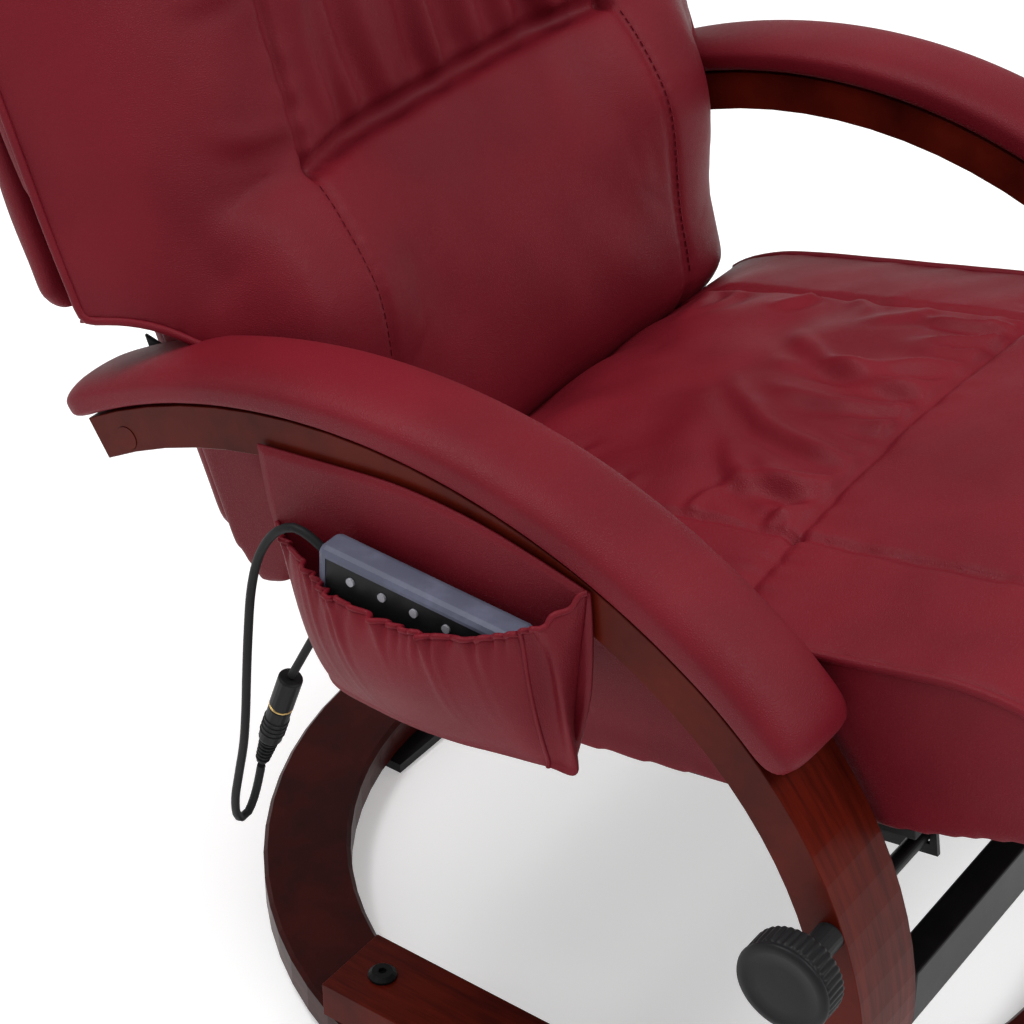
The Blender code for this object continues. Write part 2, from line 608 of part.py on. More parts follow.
def build_seat():
    """The sliding seat: cushion, panel below it, slotted rails and two motors."""
    place = Matrix.Translation((0, SEAT_Y, SEAT_Z)) @ Matrix.Rotation(-math.radians(SEAT_TILT), 4, "X")
    stations = [0.0, 0.10, 0.19, SEAT_HALF - 0.008, SEAT_HALF]
    rings = [seat_section(x) for x in [-x for x in reversed(stations)][:-1] + stations]
    cushion = loft("seat_cushion", rings)
    pieces = [cushion]
    for k, (x, y) in enumerate(SEAT_MOTORS):
        pocket = rod(f"seat_pocket_{k + 1}", (x, y, -0.02), (x, y, MOTOR_T + 0.001), MOTOR_R + 0.001, 24)
        cut(cushion, pocket)
        motor = rod(f"seat_motor_{k + 1}", (x, y, FIT), (x, y, MOTOR_T), MOTOR_R, 24, edge=0.001)
        pieces += [black_plastic(motor), pocket]
    leather(cushion)
    panel_end = -SEAT_LEN + 0.115
    panel = block("seat_panel", (-SEAT_HALF + 0.006, panel_end, -FIT - PANEL_T),
                  (SEAT_HALF - 0.006, -SEAT_BACK_GAP - 0.008, -FIT), 0.001)
    pieces.append(finish(panel, (0.008, 0.008, 0.009), 0.8))
    at = place.inverted() @ Vector((0, ROD_Y, ROD_Z))
    top = -2 * FIT - PANEL_T
    slot_end = at.y + SEAT_TRAVEL + ROD_R + RUN
    for side, name in ((-1, "right"), (1, "left")):
        low = side * RAIL_X - RAIL_T / 2
        outline = [(panel_end + 0.002, top), (panel_end + 0.002, at.z - 0.012),
                   (at.y + SEAT_TRAVEL + 0.018, at.z - 0.012), (at.y + SEAT_TRAVEL + 0.050, top)]
        rail = sheet("seat_rail_" + name, outline, low, low + RAIL_T)
        slot = block("slot_" + name, (low - 0.01, at.y - ROD_R - RUN, at.z - ROD_R - RUN),
                     (low + 0.02, slot_end, at.z + ROD_R + RUN))
        black_steel(cut(rail, slot))
        pieces += [rail, slot]
    group("seat_place", place, pieces)


def build_pocket():
    """The side pocket: a leather pouch that hangs from under the armrest pad."""
    back, front = POCKET_BACK_X, POCKET_BACK_X - POCKET_DEPTH
    outer = [(0.1300, POCKET_TOP - 0.0115), (0.1275, 0.4330), (0.1180, 0.4180), (0.1061, 0.4000), (0.0900, 0.3640),
             (0.0762, 0.3350), (0.0103, 0.3347), (-0.0460, 0.3420), (-0.0920, 0.3500), (-0.0800, 0.4100),
             (-0.0966, POCKET_TOP - 0.0175), (-0.0600, POCKET_TOP - 0.0095), (-0.0200, POCKET_TOP - 0.0025),
             (0.0300, POCKET_TOP), (0.0850, POCKET_TOP - 0.0055)]
    pouch = sheet("side_pocket", outer, front, back, 0.003, 1)
    wall = POCKET_WALL
    hollow = [(0.1230, 0.60), (0.1200, 0.4400), (0.1090, 0.4150), (0.0990, 0.3990), (0.0835, 0.3650),
              (0.0715, 0.3420), (0.0105, 0.3405), (-0.0440, 0.3480), (-0.0850, 0.3555), (-0.0745, 0.4100),
              (-0.0900, 0.4600), (-0.0900, 0.60)]
    cut(pouch, sheet("pocket_hollow", hollow, front + wall, back - wall))
    mouth = [(0.20, 0.4070), (0.1080, 0.4070), (0.0800, 0.4195), (0.0450, 0.4180), (-0.0080, 0.4200),
             (-0.0480, 0.4320), (-0.0700, 0.4430), (-0.20, 0.4430), (-0.20, 0.60), (0.20, 0.60)]
    cut(pouch, sheet("pocket_mouth", mouth, front - 0.02, back - wall))
    leather(pouch)


def build_remote():
    """The wired remote control, standing on its long edge in the pocket."""
    place = Matrix.Translation(REMOTE_AT) @ Matrix.Rotation(math.radians(REMOTE_LEAN), 4, "X")
    half = Vector((REMOTE_T, REMOTE_LEN, REMOTE_W)) / 2
    shell = block("remote_shell", -half, half, 0.004)
    tray = block("remote_tray", (-half.x - 0.01, -half.y + 0.006, -half.z + 0.006),
                 (-half.x + 0.0030, half.y - 0.006, half.z - 0.006))
    cut(shell, tray)
    finish(shell, (0.115, 0.125, 0.20), 0.42)
    face_out, face_in = -half.x + 0.0004, -half.x + 0.0028
    face = block("remote_face", (face_out, -half.y + 0.0065, -half.z + 0.0065),
                 (face_in, half.y - 0.0065, half.z - 0.0065))
    pieces = [shell, tray, face]
    for k, y in enumerate(BUTTONS):
        hole = rod(f"button_hole_{k + 1}", (face_out - 0.01, y, BUTTON_Z), (face_out + 0.0016, y, BUTTON_Z),
                   BUTTON_R + FIT, 16)
        cut(face, hole)
        button = rod(f"remote_button_{k + 1}", (face_out - BUTTON_H + 0.0004, y, BUTTON_Z),
                     (face_out + 0.0004, y, BUTTON_Z), BUTTON_R, 16)
        pieces += [finish(button, (0.55, 0.56, 0.60), 0.5), hole]
    black_plastic(face)
    group("remote_place", place, pieces)


def smooth_route(points, step):
    """Points along a smooth curve through the route, about one step apart."""
    pts = [Vector(p) for p in points]
    found = []
    for i in range(len(pts) - 1):
        before, after = pts[max(i - 1, 0)], pts[min(i + 2, len(pts) - 1)]
        count = max(1, round((pts[i + 1] - pts[i]).length / step))
        for k in range(count):
            t = k / count
            a, b = pts[i], pts[i + 1]
            found.append(0.5 * (2 * a + (b - before) * t + (2 * before - 5 * a + 4 * b - after) * t ** 2
                                + (3 * a - before - 3 * b + after) * t ** 3))
    return found + [pts[-1]]


def inlet_bar(name, y_from, y_to, radius):
    """A round bar on the power inlet's axis."""
    return rod(name, (INLET_X, y_from, INLET_Z), (INLET_X, y_to, INLET_Z), radius, 20)


def build_cord():
    """The remote's cord, its plug, and the socket on the lead from the control box."""
    curve = bpy.data.curves.new("remote_cord", "CURVE")
    curve.dimensions = "3D"
    curve.bevel_depth = CORD_R
    curve.bevel_resolution = 2
    curve.use_fill_caps = True
    aside = Vector((WIRING_X, 0, 0))
    route = smooth_route([Vector(point) + aside for point in CORD_ROUTE], CORD_R * 5)
    spline = curve.splines.new("POLY")
    spline.points.add(len(route) - 1)
    for point, at in zip(spline.points, route):
        point.co = (*at, 1.0)
    cord = bpy.data.objects.new("remote_cord", curve)
    bpy.context.scene.collection.objects.link(cord)
    black_plastic(cord)
    start, end = Vector(PLUG_AXIS[0]) + aside, Vector(PLUG_AXIS[1]) + aside
    along = (end - start).normalized()
    neck = start + along * PLUG_RELIEF
    black_plastic(rod("cord_plug_relief", start, neck, CORD_R * 1.35, 12, CORD_R * 2.0))
    plug_end = neck + along * (FIT + PLUG_LEN)
    black_plastic(rod("cord_plug", neck + along * FIT, plug_end, PLUG_BODY_R, 20, edge=0.0015))
    socket = plug_end + along * 0.0009
    mouth_end = socket + along * SOCKET_LEN
    black_plastic(rod("inline_socket", socket, mouth_end, PLUG_BODY_R * 1.03, 20, edge=0.0012))
    box_low, box_high = Vector(BOX_LO) + aside, Vector(BOX_HI) + aside
    lead_from = socket + along * (SOCKET_LEN + 5 * FIT)
    lead_to = Vector((lead_from.x + 0.001, box_high.y - 0.007, box_low.z - 6 * FIT))
    black_plastic(rod("socket_lead", lead_from, lead_to, CORD_R, 12))
    box = block("control_box", box_low, box_high, 0.002)
    front = box_low.y
    cut(box, inlet_bar("inlet_seat", front - 0.01, front + 0.012, 0.0062))
    black_plastic(box)
    jack = inlet_bar("power_inlet", front - 0.0005, front + 0.0115, 0.0059)
    cut(jack, inlet_bar("jack_bore", front - 0.01, front + 0.009, 0.0032))
    finish(jack, (0.02, 0.02, 0.02), 0.3)


def main() -> None:
    """Build the whole chair."""
    clear_scene()
    collection(COLLECTION)
    build_ring()
    build_arms()
    build_crossbars()
    build_knob()
    build_back()
    build_seat()
    build_pocket()
    build_remote()
    build_cord()
    for obj in bpy.data.objects:
        if obj.parent is None:
            obj.location.y -= REAR_FOOT_Y
    bpy.context.view_layer.update()


main()
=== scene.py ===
"""Looks of the massage recliner armchair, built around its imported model."""

import json
import logging
import math
import random
from dataclasses import dataclass
from enum import Enum
from typing import Callable

import bmesh
import bpy
import numpy as np
from mathutils import Matrix, Vector
from mathutils.bvhtree import BVHTree


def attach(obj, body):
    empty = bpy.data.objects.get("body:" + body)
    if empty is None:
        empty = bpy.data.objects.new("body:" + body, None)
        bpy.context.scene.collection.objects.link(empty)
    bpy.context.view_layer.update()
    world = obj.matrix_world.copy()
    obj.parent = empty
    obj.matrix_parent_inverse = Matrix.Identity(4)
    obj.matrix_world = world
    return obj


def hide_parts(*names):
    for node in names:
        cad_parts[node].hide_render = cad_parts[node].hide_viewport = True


LOG = logging.getLogger("recliner")

Point = tuple[float, float, float]
Colour = tuple[float, float, float]
Number = float | np.ndarray
Field = Callable[[np.ndarray], np.ndarray]      # one value for each point

FIT = 0.0003
RING_CENTRE_Y = -0.2697      # the ring's centre in the frame; the sizes in this file count from that centre
ARM_INNER = 0.248
ARM_OUTER = 0.306
ARM_T = 0.027
RING_TOP = 0.036
ARM_FOOT_Y = 0.108
ARM_FOOT_L = 0.203
ARM_BENDS = ((0.1705, 98.6), (0.2515, 48.1), (0.3855, 65.1))
PAD_FROM = 137.0
CLOTH_FRAMES = 20


class Body(str, Enum):
    """The rigid bodies of the chair that the pieces move with."""

    FRAME = "frame"
    SEAT = "seat"
    BACK = "back"
    KNOB = "knob"


# ---------------------------------------------------------------- shader maths

class Value:
    """A shader socket that can be used in Python expressions."""

    def __init__(self, shader: "Shader", socket: bpy.types.NodeSocket) -> None:
        """Keep the socket and the shader that it belongs to."""
        self.shader = shader
        self.socket = socket

    def _math(self, operation: str, *values: object) -> "Value":
        """Add a Math node.

        Args:
            operation: the node's operation.
            values: its inputs, in order.

        Returns:
            The node's result.
        """
        inputs = {index: value for index, value in enumerate(values)}
        return self.shader.node("ShaderNodeMath", {"operation": operation}, inputs)

    def __add__(self, other: object) -> "Value":
        """Add."""
        return self._math("ADD", self, other)

    __radd__ = __add__

    def __mul__(self, other: object) -> "Value":
        """Multiply."""
        return self._math("MULTIPLY", self, other)

    __rmul__ = __mul__

    def __sub__(self, other: object) -> "Value":
        """Subtract."""
        return self._math("SUBTRACT", self, other)

    def __rsub__(self, other: object) -> "Value":
        """Subtract from a number."""
        return self._math("SUBTRACT", other, self)

    def ramp(self, low: float, high: float) -> "Value":
        """Map low..high onto 0..1, clamped and smooth.

        Args:
            low: the value that gives 0.
            high: the value that gives 1.

        Returns:
            The mapped value.
        """
        return self.shader.node("ShaderNodeMapRange", {"interpolation_type": "SMOOTHSTEP"},
                                {"Value": self, "From Min": low, "From Max": high})


class Shader:
    """A material under construction."""

    def __init__(self, name: str) -> None:
        """Start a material with one Principled shader."""
        self.material = bpy.data.materials.new(name)
        self.material.use_nodes = True
        self.tree = self.material.node_tree
        self.surface = self.tree.nodes["Principled BSDF"]

    def node(self, kind: str, settings: dict[str, object] | None = None,
             inputs: dict[object, object] | None = None, output: object = 0) -> Value:
        """Add a node.

        Args:
            kind: the node's type.
            settings: attributes that are set first.
            inputs: numbers, vectors or values by socket name or index.
            output: the name or index of the output wanted.

        Returns:
            That output, as a value.
        """
        made = self.tree.nodes.new(kind)
        for key, value in (settings or {}).items():
            setattr(made, key, value)
        for key, value in (inputs or {}).items():
            self.feed(made.inputs[key], value)
        return Value(self, made.outputs[output])

    def feed(self, socket: bpy.types.NodeSocket, value: object) -> None:
        """Link a value to a socket, or set its number."""
        if isinstance(value, Value):
            self.tree.links.new(value.socket, socket)
        else:
            socket.default_value = value

    def set(self, **inputs: object) -> None:
        """Set the surface shader's sockets; an underscore in a name stands for a space."""
        for key, value in inputs.items():
            self.feed(self.surface.inputs[key.replace("_", " ")], value)

    def place(self, scale: Point = (1.0, 1.0, 1.0)) -> Value:
        """Give the point on the piece, in metres, scaled along each axis."""
        point = self.node("ShaderNodeTexCoord", output="Object")
        return self.node("ShaderNodeVectorMath", {"operation": "MULTIPLY"}, {0: point, 1: scale})

    def noise(self, where: Value, scale: float, detail: float = 3.0, rough: float = 0.5) -> Value:
        """Give a noise value in 0..1 at that place."""
        return self.node("ShaderNodeTexNoise", {"noise_dimensions": "3D"},
                         {"Vector": where, "Scale": scale, "Detail": detail, "Roughness": rough})

    def mix(self, factor: object, low: object, high: object) -> Value:
        """Mix two colours.

        Args:
            factor: 0 for the first, 1 for the second.
            low: the first colour.
            high: the second colour.

        Returns:
            The mixed colour.
        """
        low = (*low, 1.0) if isinstance(low, tuple) else low
        high = (*high, 1.0) if isinstance(high, tuple) else high
        return self.node("ShaderNodeMix", {"data_type": "RGBA"}, {0: factor, 6: low, 7: high}, 2)

    def bump(self, height: Value, distance: float, strength: float = 1.0,
             normal: Value | None = None) -> Value:
        """Turn a height into a surface normal.

        Args:
            height: the height, in 0..1.
            distance: its size in metres.
            strength: how much of it shows.
            normal: a normal to add it to.

        Returns:
            The new normal.
        """
        inputs = {"Height": height, "Distance": distance, "Strength": strength}
        if normal is not None:
            inputs["Normal"] = normal
        return self.node("ShaderNodeBump", {}, inputs)


@dataclass(frozen=True)
class Leather:
    """Faux leather with a fine pebble grain and a satin sheen."""

    name: str = "leather_wine"
    base: Colour = (0.165, 0.0085, 0.0165)
    deep: Colour = (0.118, 0.0052, 0.0110)
    grain: float = 760.0

    def build(self) -> bpy.types.Material:
        """Make the material."""
        sh = Shader(self.name)
        where = sh.place()
        cloud = sh.noise(where, 9.0, 3.0)
        fine = sh.noise(where, 160.0, 4.0, 0.6)
        pebble = sh.node("ShaderNodeTexVoronoi", {"feature": "DISTANCE_TO_EDGE"},
                         {"Vector": where, "Scale": self.grain})
        grain = pebble.ramp(0.02, 0.42)
        sh.set(Base_Color=sh.mix(cloud.ramp(0.32, 0.70) * 0.7 + (1 - grain) * 0.35, self.base, self.deep),
               Roughness=0.40 + fine * 0.10 + (1 - grain) * 0.08 - cloud * 0.04)
        soft = sh.bump(fine, 0.0003, 0.35)
        sh.set(Specular_IOR_Level=0.13, Normal=sh.bump(grain, 0.00022, 0.55, soft))
        return sh.material


@dataclass(frozen=True)
class Lacquer:
    """Dark mahogany under a clear lacquer, with grain along the bent strip."""

    name: str = "wood_mahogany"
    base: Colour = (0.102, 0.0090, 0.0038)
    dark: Colour = (0.034, 0.0028, 0.0015)
    along: Point = (210.0, 16.0, 16.0)

    def build(self) -> bpy.types.Material:
        """Make the material."""
        sh = Shader(self.name)
        streak = sh.noise(sh.place(self.along), 1.0, 5.0, 0.6)
        pores = sh.noise(sh.place(tuple(4 * a for a in self.along)), 1.0, 2.0, 0.7)
        cloud = sh.noise(sh.place(), 14.0, 3.0)
        mask = streak.ramp(0.30, 0.72) * 0.65 + cloud.ramp(0.35, 0.70) * 0.35
        sh.set(Base_Color=sh.mix(mask, self.base, self.dark),
               Roughness=0.26 + streak * 0.10 + pores * 0.06, Specular_IOR_Level=0.06,
               Coat_Roughness=0.14, Coat_Weight=0.01 + cloud * 0.03, Normal=sh.bump(pores, 0.00008, 0.35))
        return sh.material


@dataclass(frozen=True)
class Moulded:
    """A moulded or powder-coated surface with a fine texture."""

    name: str
    base: Colour
    rough: float = 0.45
    metal: float = 0.0
    texture: float = 900.0
    height: float = 0.00006

    def build(self) -> bpy.types.Material:
        """Make the material."""
        sh = Shader(self.name)
        where = sh.place()
        speck = sh.noise(where, self.texture, 2.0, 0.6)
        worn = sh.noise(where, 35.0, 4.0, 0.6)
        lighter = tuple(min(1.0, c * 1.35 + 0.002) for c in self.base)
        sh.set(Base_Color=sh.mix(worn.ramp(0.45, 0.75), self.base, lighter),
               Roughness=self.rough + worn * 0.12 - 0.04, Metallic=self.metal,
               Specular_IOR_Level=0.12, Normal=sh.bump(speck, self.height, 0.6))
        return sh.material


@dataclass(frozen=True)
class Turned:
    """Bare or plated metal with fine machining lines."""

    name: str
    base: Colour
    rough: float = 0.28

    def build(self) -> bpy.types.Material:
        """Make the material."""
        sh = Shader(self.name)
        lines = sh.noise(sh.place((2600.0, 60.0, 60.0)), 1.0, 2.0)
        haze = sh.noise(sh.place(), 60.0, 3.0)
        sh.set(Base_Color=sh.mix(haze, self.base, tuple(c * 0.8 for c in self.base)),
               Roughness=self.rough + lines * 0.12, Metallic=1.0, Normal=sh.bump(lines, 0.00002, 0.5))
        return sh.material


@dataclass(frozen=True)
class Board:
    """Bare plywood, or board under a black dust cloth."""

    name: str
    base: Colour
    dark: Colour
    weave: float = 0.0

    def build(self) -> bpy.types.Material:
        """Make the material."""
        sh = Shader(self.name)
        grain = sh.noise(sh.place((60.0, 60.0, 6.0)), 1.0, 4.0)
        height = grain
        if self.weave:
            threads = sh.node("ShaderNodeTexChecker", {}, {"Vector": sh.place(), "Scale": self.weave}, 1)
            height = threads * 0.6 + grain * 0.4
        sh.set(Base_Color=sh.mix(grain.ramp(0.35, 0.7), self.base, self.dark),
               Roughness=0.78 + grain * 0.12, Normal=sh.bump(height, 0.0001, 0.5))
        return sh.material


class Finishes:
    """The materials of the chair, made once, by the record's slot names."""

    def __init__(self) -> None:
        """Make every material."""
        self.by_slot = {
            "leather": Leather().build(),
            "wood": Lacquer().build(),
            "ring_wood": Lacquer("wood_ring", (0.050, 0.0044, 0.0028), (0.018, 0.0019, 0.0014),
                                 (26.0, 26.0, 180.0)).build(),
            "black_steel": Moulded("steel_black", (0.010, 0.010, 0.011), 0.36, 0.4, 1400.0, 0.00005).build(),
            "black_plastic": Moulded("plastic_black", (0.011, 0.011, 0.012), 0.42).build(),
            "cord_black": Moulded("cord_sheath", (0.010, 0.010, 0.011), 0.50, 0.0, 1500.0, 0.00004).build(),
            "remote_grey": Moulded("remote_slate", (0.085, 0.090, 0.130), 0.40, 0.0, 1300.0, 0.00004).build(),
            "button_grey": Moulded("button_pale", (0.30, 0.30, 0.33), 0.50, 0.0, 1300.0, 0.00003).build(),
            "zinc": Turned("zinc_plate", (0.55, 0.55, 0.57)).build(),
            "brass": Turned("brass_turned", (0.68, 0.46, 0.17), 0.25).build(),
            "plywood": Board("plywood_bare", (0.42, 0.29, 0.16), (0.30, 0.19, 0.10)).build(),
            "panel_black": Board("dust_cloth", (0.010, 0.010, 0.011), (0.006, 0.006, 0.006), 900.0).build(),
        }

    def dress(self, obj: bpy.types.Object, slot: str) -> None:
        """Put one material on a piece."""
        obj.data.materials.clear()
        obj.data.materials.append(self.by_slot[slot])

    def settle(self, obj: bpy.types.Object, body: Body, slot: str, *stands_for: str) -> None:
        """Dress a finished piece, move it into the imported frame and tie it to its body.

        Args:
            obj: the piece, with its place counted from the ring's centre.
            body: the rigid body that it moves with.
            slot: the record's material slot.
            stands_for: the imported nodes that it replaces.
        """
        self.dress(obj, slot)
        obj.data.transform(Matrix.Translation((0.0, RING_CENTRE_Y, 0.0)))
        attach(obj, body.value)
        if stands_for:
            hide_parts(*stands_for)


# ---------------------------------------------------------------- mesh helpers

def from_ring(point: Point) -> Point:
    """Move a point from the ring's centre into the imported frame."""
    return (point[0], point[1] + RING_CENTRE_Y, point[2])


def mesh_object(name: str, points: np.ndarray, faces: list[tuple[int, ...]]) -> bpy.types.Object:
    """Make a smooth mesh object.

    Args:
        name: the piece's name.
        points: its vertices.
        faces: its faces, as vertex numbers.

    Returns:
        The object, linked to the scene.
    """
    mesh = bpy.data.meshes.new(name)
    mesh.from_pydata([tuple(map(float, p)) for p in points], [], faces)
    bm = bmesh.new()
    bm.from_mesh(mesh)
    bmesh.ops.recalc_face_normals(bm, faces=bm.faces)
    bm.to_mesh(mesh)
    bm.free()
    mesh.shade_smooth()
    obj = bpy.data.objects.new(name, mesh)
    bpy.context.scene.collection.objects.link(obj)
    return obj


def lofted(name: str, rings: np.ndarray) -> bpy.types.Object:
    """Make a closed solid through rings of points, with fans closing both ends.

    Args:
        name: the piece's name.
        rings: (rings, points, 3) coordinates.

    Returns:
        The object.
    """
    count, size = rings.shape[:2]
    points = np.concatenate([rings.reshape(-1, 3), rings[0].mean(0)[None], rings[-1].mean(0)[None]])
    first, last = count * size, count * size + 1
    faces = [(r * size + i, r * size + (i + 1) % size, (r + 1) * size + (i + 1) % size, (r + 1) * size + i)
             for r in range(count - 1) for i in range(size)]
    faces += [(first, (i + 1) % size, i) for i in range(size)]
    top = (count - 1) * size
    faces += [(last, top + i, top + (i + 1) % size) for i in range(size)]
    return mesh_object(name, points, faces)


def grid_sheet(name: str, points: np.ndarray, thickness: float) -> bpy.types.Object:
    """Make a curved sheet of an even thickness from a grid of points.

    Args:
        name: the piece's name.
        points: (rows, columns, 3) coordinates of its middle.
        thickness: its thickness in metres.

    Returns:
        The object.
    """
    rows, cols = points.shape[:2]
    faces = [(r * cols + c, r * cols + c + 1, (r + 1) * cols + c + 1, (r + 1) * cols + c)
             for r in range(rows - 1) for c in range(cols - 1)]
    obj = mesh_object(name, points.reshape(-1, 3), faces)
    mod = obj.modifiers.new("thickness", "SOLIDIFY")
    mod.thickness = thickness
    mod.offset = 0.0
    return obj


def smooth_line(points: list[Point], step: float) -> np.ndarray:
    """Give points about one step apart on a smooth curve through the given ones."""
    pts = np.array(points, float)
    found = []
    for i in range(len(pts) - 1):
        a, b = pts[i], pts[i + 1]
        before, after = pts[max(i - 1, 0)], pts[min(i + 2, len(pts) - 1)]
        count = max(1, round(float(np.linalg.norm(b - a)) / step))
        for k in range(count):
            t = k / count
            found.append(0.5 * (2 * a + (b - before) * t + (2 * before - 5 * a + 4 * b - after) * t ** 2
                                + (3 * a - before - 3 * b + after) * t ** 3))
    return np.array(found + [pts[-1]])


def piping(name: str, lines: list[np.ndarray], radius: float, roundness: int = 3) -> bpy.types.Object:
    """Make round welts, cords or threads along lines of points.

    Args:
        name: the piece's name.
        lines: one (count, 3) array for each welt.
        radius: their radius.
        roundness: how finely their section is cut.

    Returns:
        One curve object.
    """
    curve = bpy.data.curves.new(name, "CURVE")
    curve.dimensions = "3D"
    curve.bevel_depth = radius
    curve.bevel_resolution = roundness
    curve.use_fill_caps = True
    for line in lines:
        spline = curve.splines.new("POLY")
        spline.points.add(len(line) - 1)
        for spot, at in zip(spline.points, line):
            spot.co = (*map(float, at), 1.0)
    obj = bpy.data.objects.new(name, curve)
    bpy.context.scene.collection.objects.link(obj)
    return obj


def walked(line: np.ndarray) -> np.ndarray:
    """Give how far along the line each of its points is."""
    return np.concatenate([[0.0], np.cumsum(np.linalg.norm(np.diff(line, axis=0), axis=1))])


def at_distances(line: np.ndarray, wanted: np.ndarray) -> np.ndarray:
    """Give the points at the wanted distances along a line."""
    run = walked(line)
    return np.column_stack([np.interp(wanted, run, line[:, k]) for k in range(3)])


def stitching(name: str, line: np.ndarray, length: float, gap: float, radius: float) -> bpy.types.Object:
    """Make a row of stitches along a line.

    Args:
        name: the piece's name.
        line: points along the seam, one beside the next.
        length: how long one stitch shows.
        gap: the leather between two stitches.
        radius: the thread's radius.

    Returns:
        The stitches, as one curve object.
    """
    starts = np.arange(0.0, walked(line)[-1] - length, length + gap)
    sewn = [at_distances(line, start + np.array((0.0, length / 2, length))) for start in starts]
    return piping(name, sewn, radius, 1)


def laid_on(line: np.ndarray, obj: bpy.types.Object, reach: float, proud: float = 0.0008) -> np.ndarray:
    """Bring a welt's line onto a piece's surface, and even it out.

    Args:
        line: the welt's points.
        obj: the piece.
        reach: the farthest that a point may move.
        proud: how far the line stands off the surface.

    Returns:
        The moved points.
    """
    tree = BVHTree.FromPolygons([v.co for v in obj.data.vertices], [p.vertices for p in obj.data.polygons])
    moved = line.copy()
    for k, spot in enumerate(line):
        near, normal, _, far = tree.find_nearest(Vector(spot))
        if near is not None and far < reach:
            moved[k] = near + proud * normal
    for _ in range(3):
        moved[1:-1] = (moved[:-2] + 2 * moved[1:-1] + moved[2:]) / 4
    return moved


def apply_modifiers(obj: bpy.types.Object) -> None:
    """Replace a piece's mesh by its modified mesh."""
    graph = bpy.context.evaluated_depsgraph_get()
    mesh = bpy.data.meshes.new_from_object(obj.evaluated_get(graph))
    old = obj.data
    obj.modifiers.clear()
    obj.data = mesh
    bpy.data.meshes.remove(old)


def read(mesh: bpy.types.Mesh, what: str = "co") -> np.ndarray:
    """Give the vertices' places (co) or their normals (normal) as an array."""
    flat = np.empty(len(mesh.vertices) * 3)
    mesh.vertices.foreach_get(what, flat)
    return flat.reshape(-1, 3)


def write_points(mesh: bpy.types.Mesh, points: np.ndarray) -> None:
    """Put an array back as a mesh's vertices."""
    mesh.vertices.foreach_set("co", points.ravel())
    mesh.update()


def ease(value: Number, low: float, high: float) -> Number:
    """Rise smoothly from 0 at low to 1 at high."""
    t = np.clip((value - low) / (high - low), 0.0, 1.0)
    return t * t * (3 - 2 * t)


def hump(distance: Number, width: float) -> Number:
    """Give a bell of height 1 and that width."""
    return np.exp(-(distance / width) ** 2)


def blobs(points: np.ndarray, scale: float, seed: int) -> np.ndarray:
    """Give smooth random values around 0, about one blob every scale metres.

    Args:
        points: (count, 2) places.
        scale: the blobs' spacing.
        seed: fixes the pattern.

    Returns:
        One value a place, mostly within -1..1.
    """
    rnd = random.Random(seed)
    total = np.zeros(len(points))
    for _ in range(9):
        angle = rnd.uniform(0, math.tau)
        pitch = math.tau / (scale * rnd.uniform(0.7, 1.6))
        phase = rnd.uniform(0, math.tau)
        total += np.sin((points[:, 0] * math.cos(angle) + points[:, 1] * math.sin(angle)) * pitch + phase)
    return total / 3.0


@dataclass
class Seam:
    """A sewn line across a cushion's surface, in the cushion's own plane."""

    line: tuple[tuple[float, float], ...]
    depth: float = 0.004
    width: float = 0.005
    pucker: float = 0.0
    pitch: float = 0.016
    reach: float = 0.016

    def measure(self, spots: np.ndarray) -> tuple[np.ndarray, np.ndarray]:
        """Give each spot's distance from the seam and how far along the seam it is."""
        best = np.full(len(spots), 9.0)
        run = np.zeros(len(spots))
        walked = 0.0
        for a, b in zip(self.line, self.line[1:]):
            start, span = np.array(a), np.array(b) - np.array(a)
            length = float(np.linalg.norm(span))
            t = np.clip(((spots - start) @ span) / length ** 2, 0.0, 1.0)
            gap = np.linalg.norm(spots - start - t[:, None] * span, axis=1)
            near = gap < best
            best[near] = gap[near]
            run[near] = (walked + t * length)[near]
            walked += length
        return best, run

    def carve(self, spots: np.ndarray) -> np.ndarray:
        """Give how far the seam moves each spot, out of the surface being positive."""
        gap, run = self.measure(spots)
        wander = run * math.tau / self.pitch + 2.2 * np.sin(run * 31.0)
        wave = (np.sin(wander) * (0.55 + 0.45 * np.sin(run * 47.0))
                + 0.6 * np.sin(run * math.tau / (self.pitch * 2.3) + 1.1))
        ripple = self.pucker * wave * hump(gap, self.reach) * (1 - hump(gap, self.width * 0.5))
        return ripple - self.depth * hump(gap, self.width)


@dataclass
class Crease:
    """A soft wrinkle: a ridge with a dip beside it, from one spot to another."""

    start: tuple[float, float]
    end: tuple[float, float]
    height: float
    width: float

    def lift(self, spots: np.ndarray) -> np.ndarray:
        """Give how far the wrinkle moves each spot."""
        start, span = np.array(self.start), np.array(self.end) - np.array(self.start)
        length = float(np.linalg.norm(span))
        along = span / length
        t = (spots - start) @ along / length
        side = (spots - start) @ np.array((-along[1], along[0]))
        side = side - 0.10 * length * np.sin(np.clip(t, 0, 1) * math.pi)
        taper = np.clip(ease(t, -0.05, 0.12) * (1 - ease(t, 0.45, 1.05)), 0, 1)
        dip = 0.7 * hump(side - 1.5 * self.width, self.width)
        return self.height * taper * (hump(side, self.width) - dip)


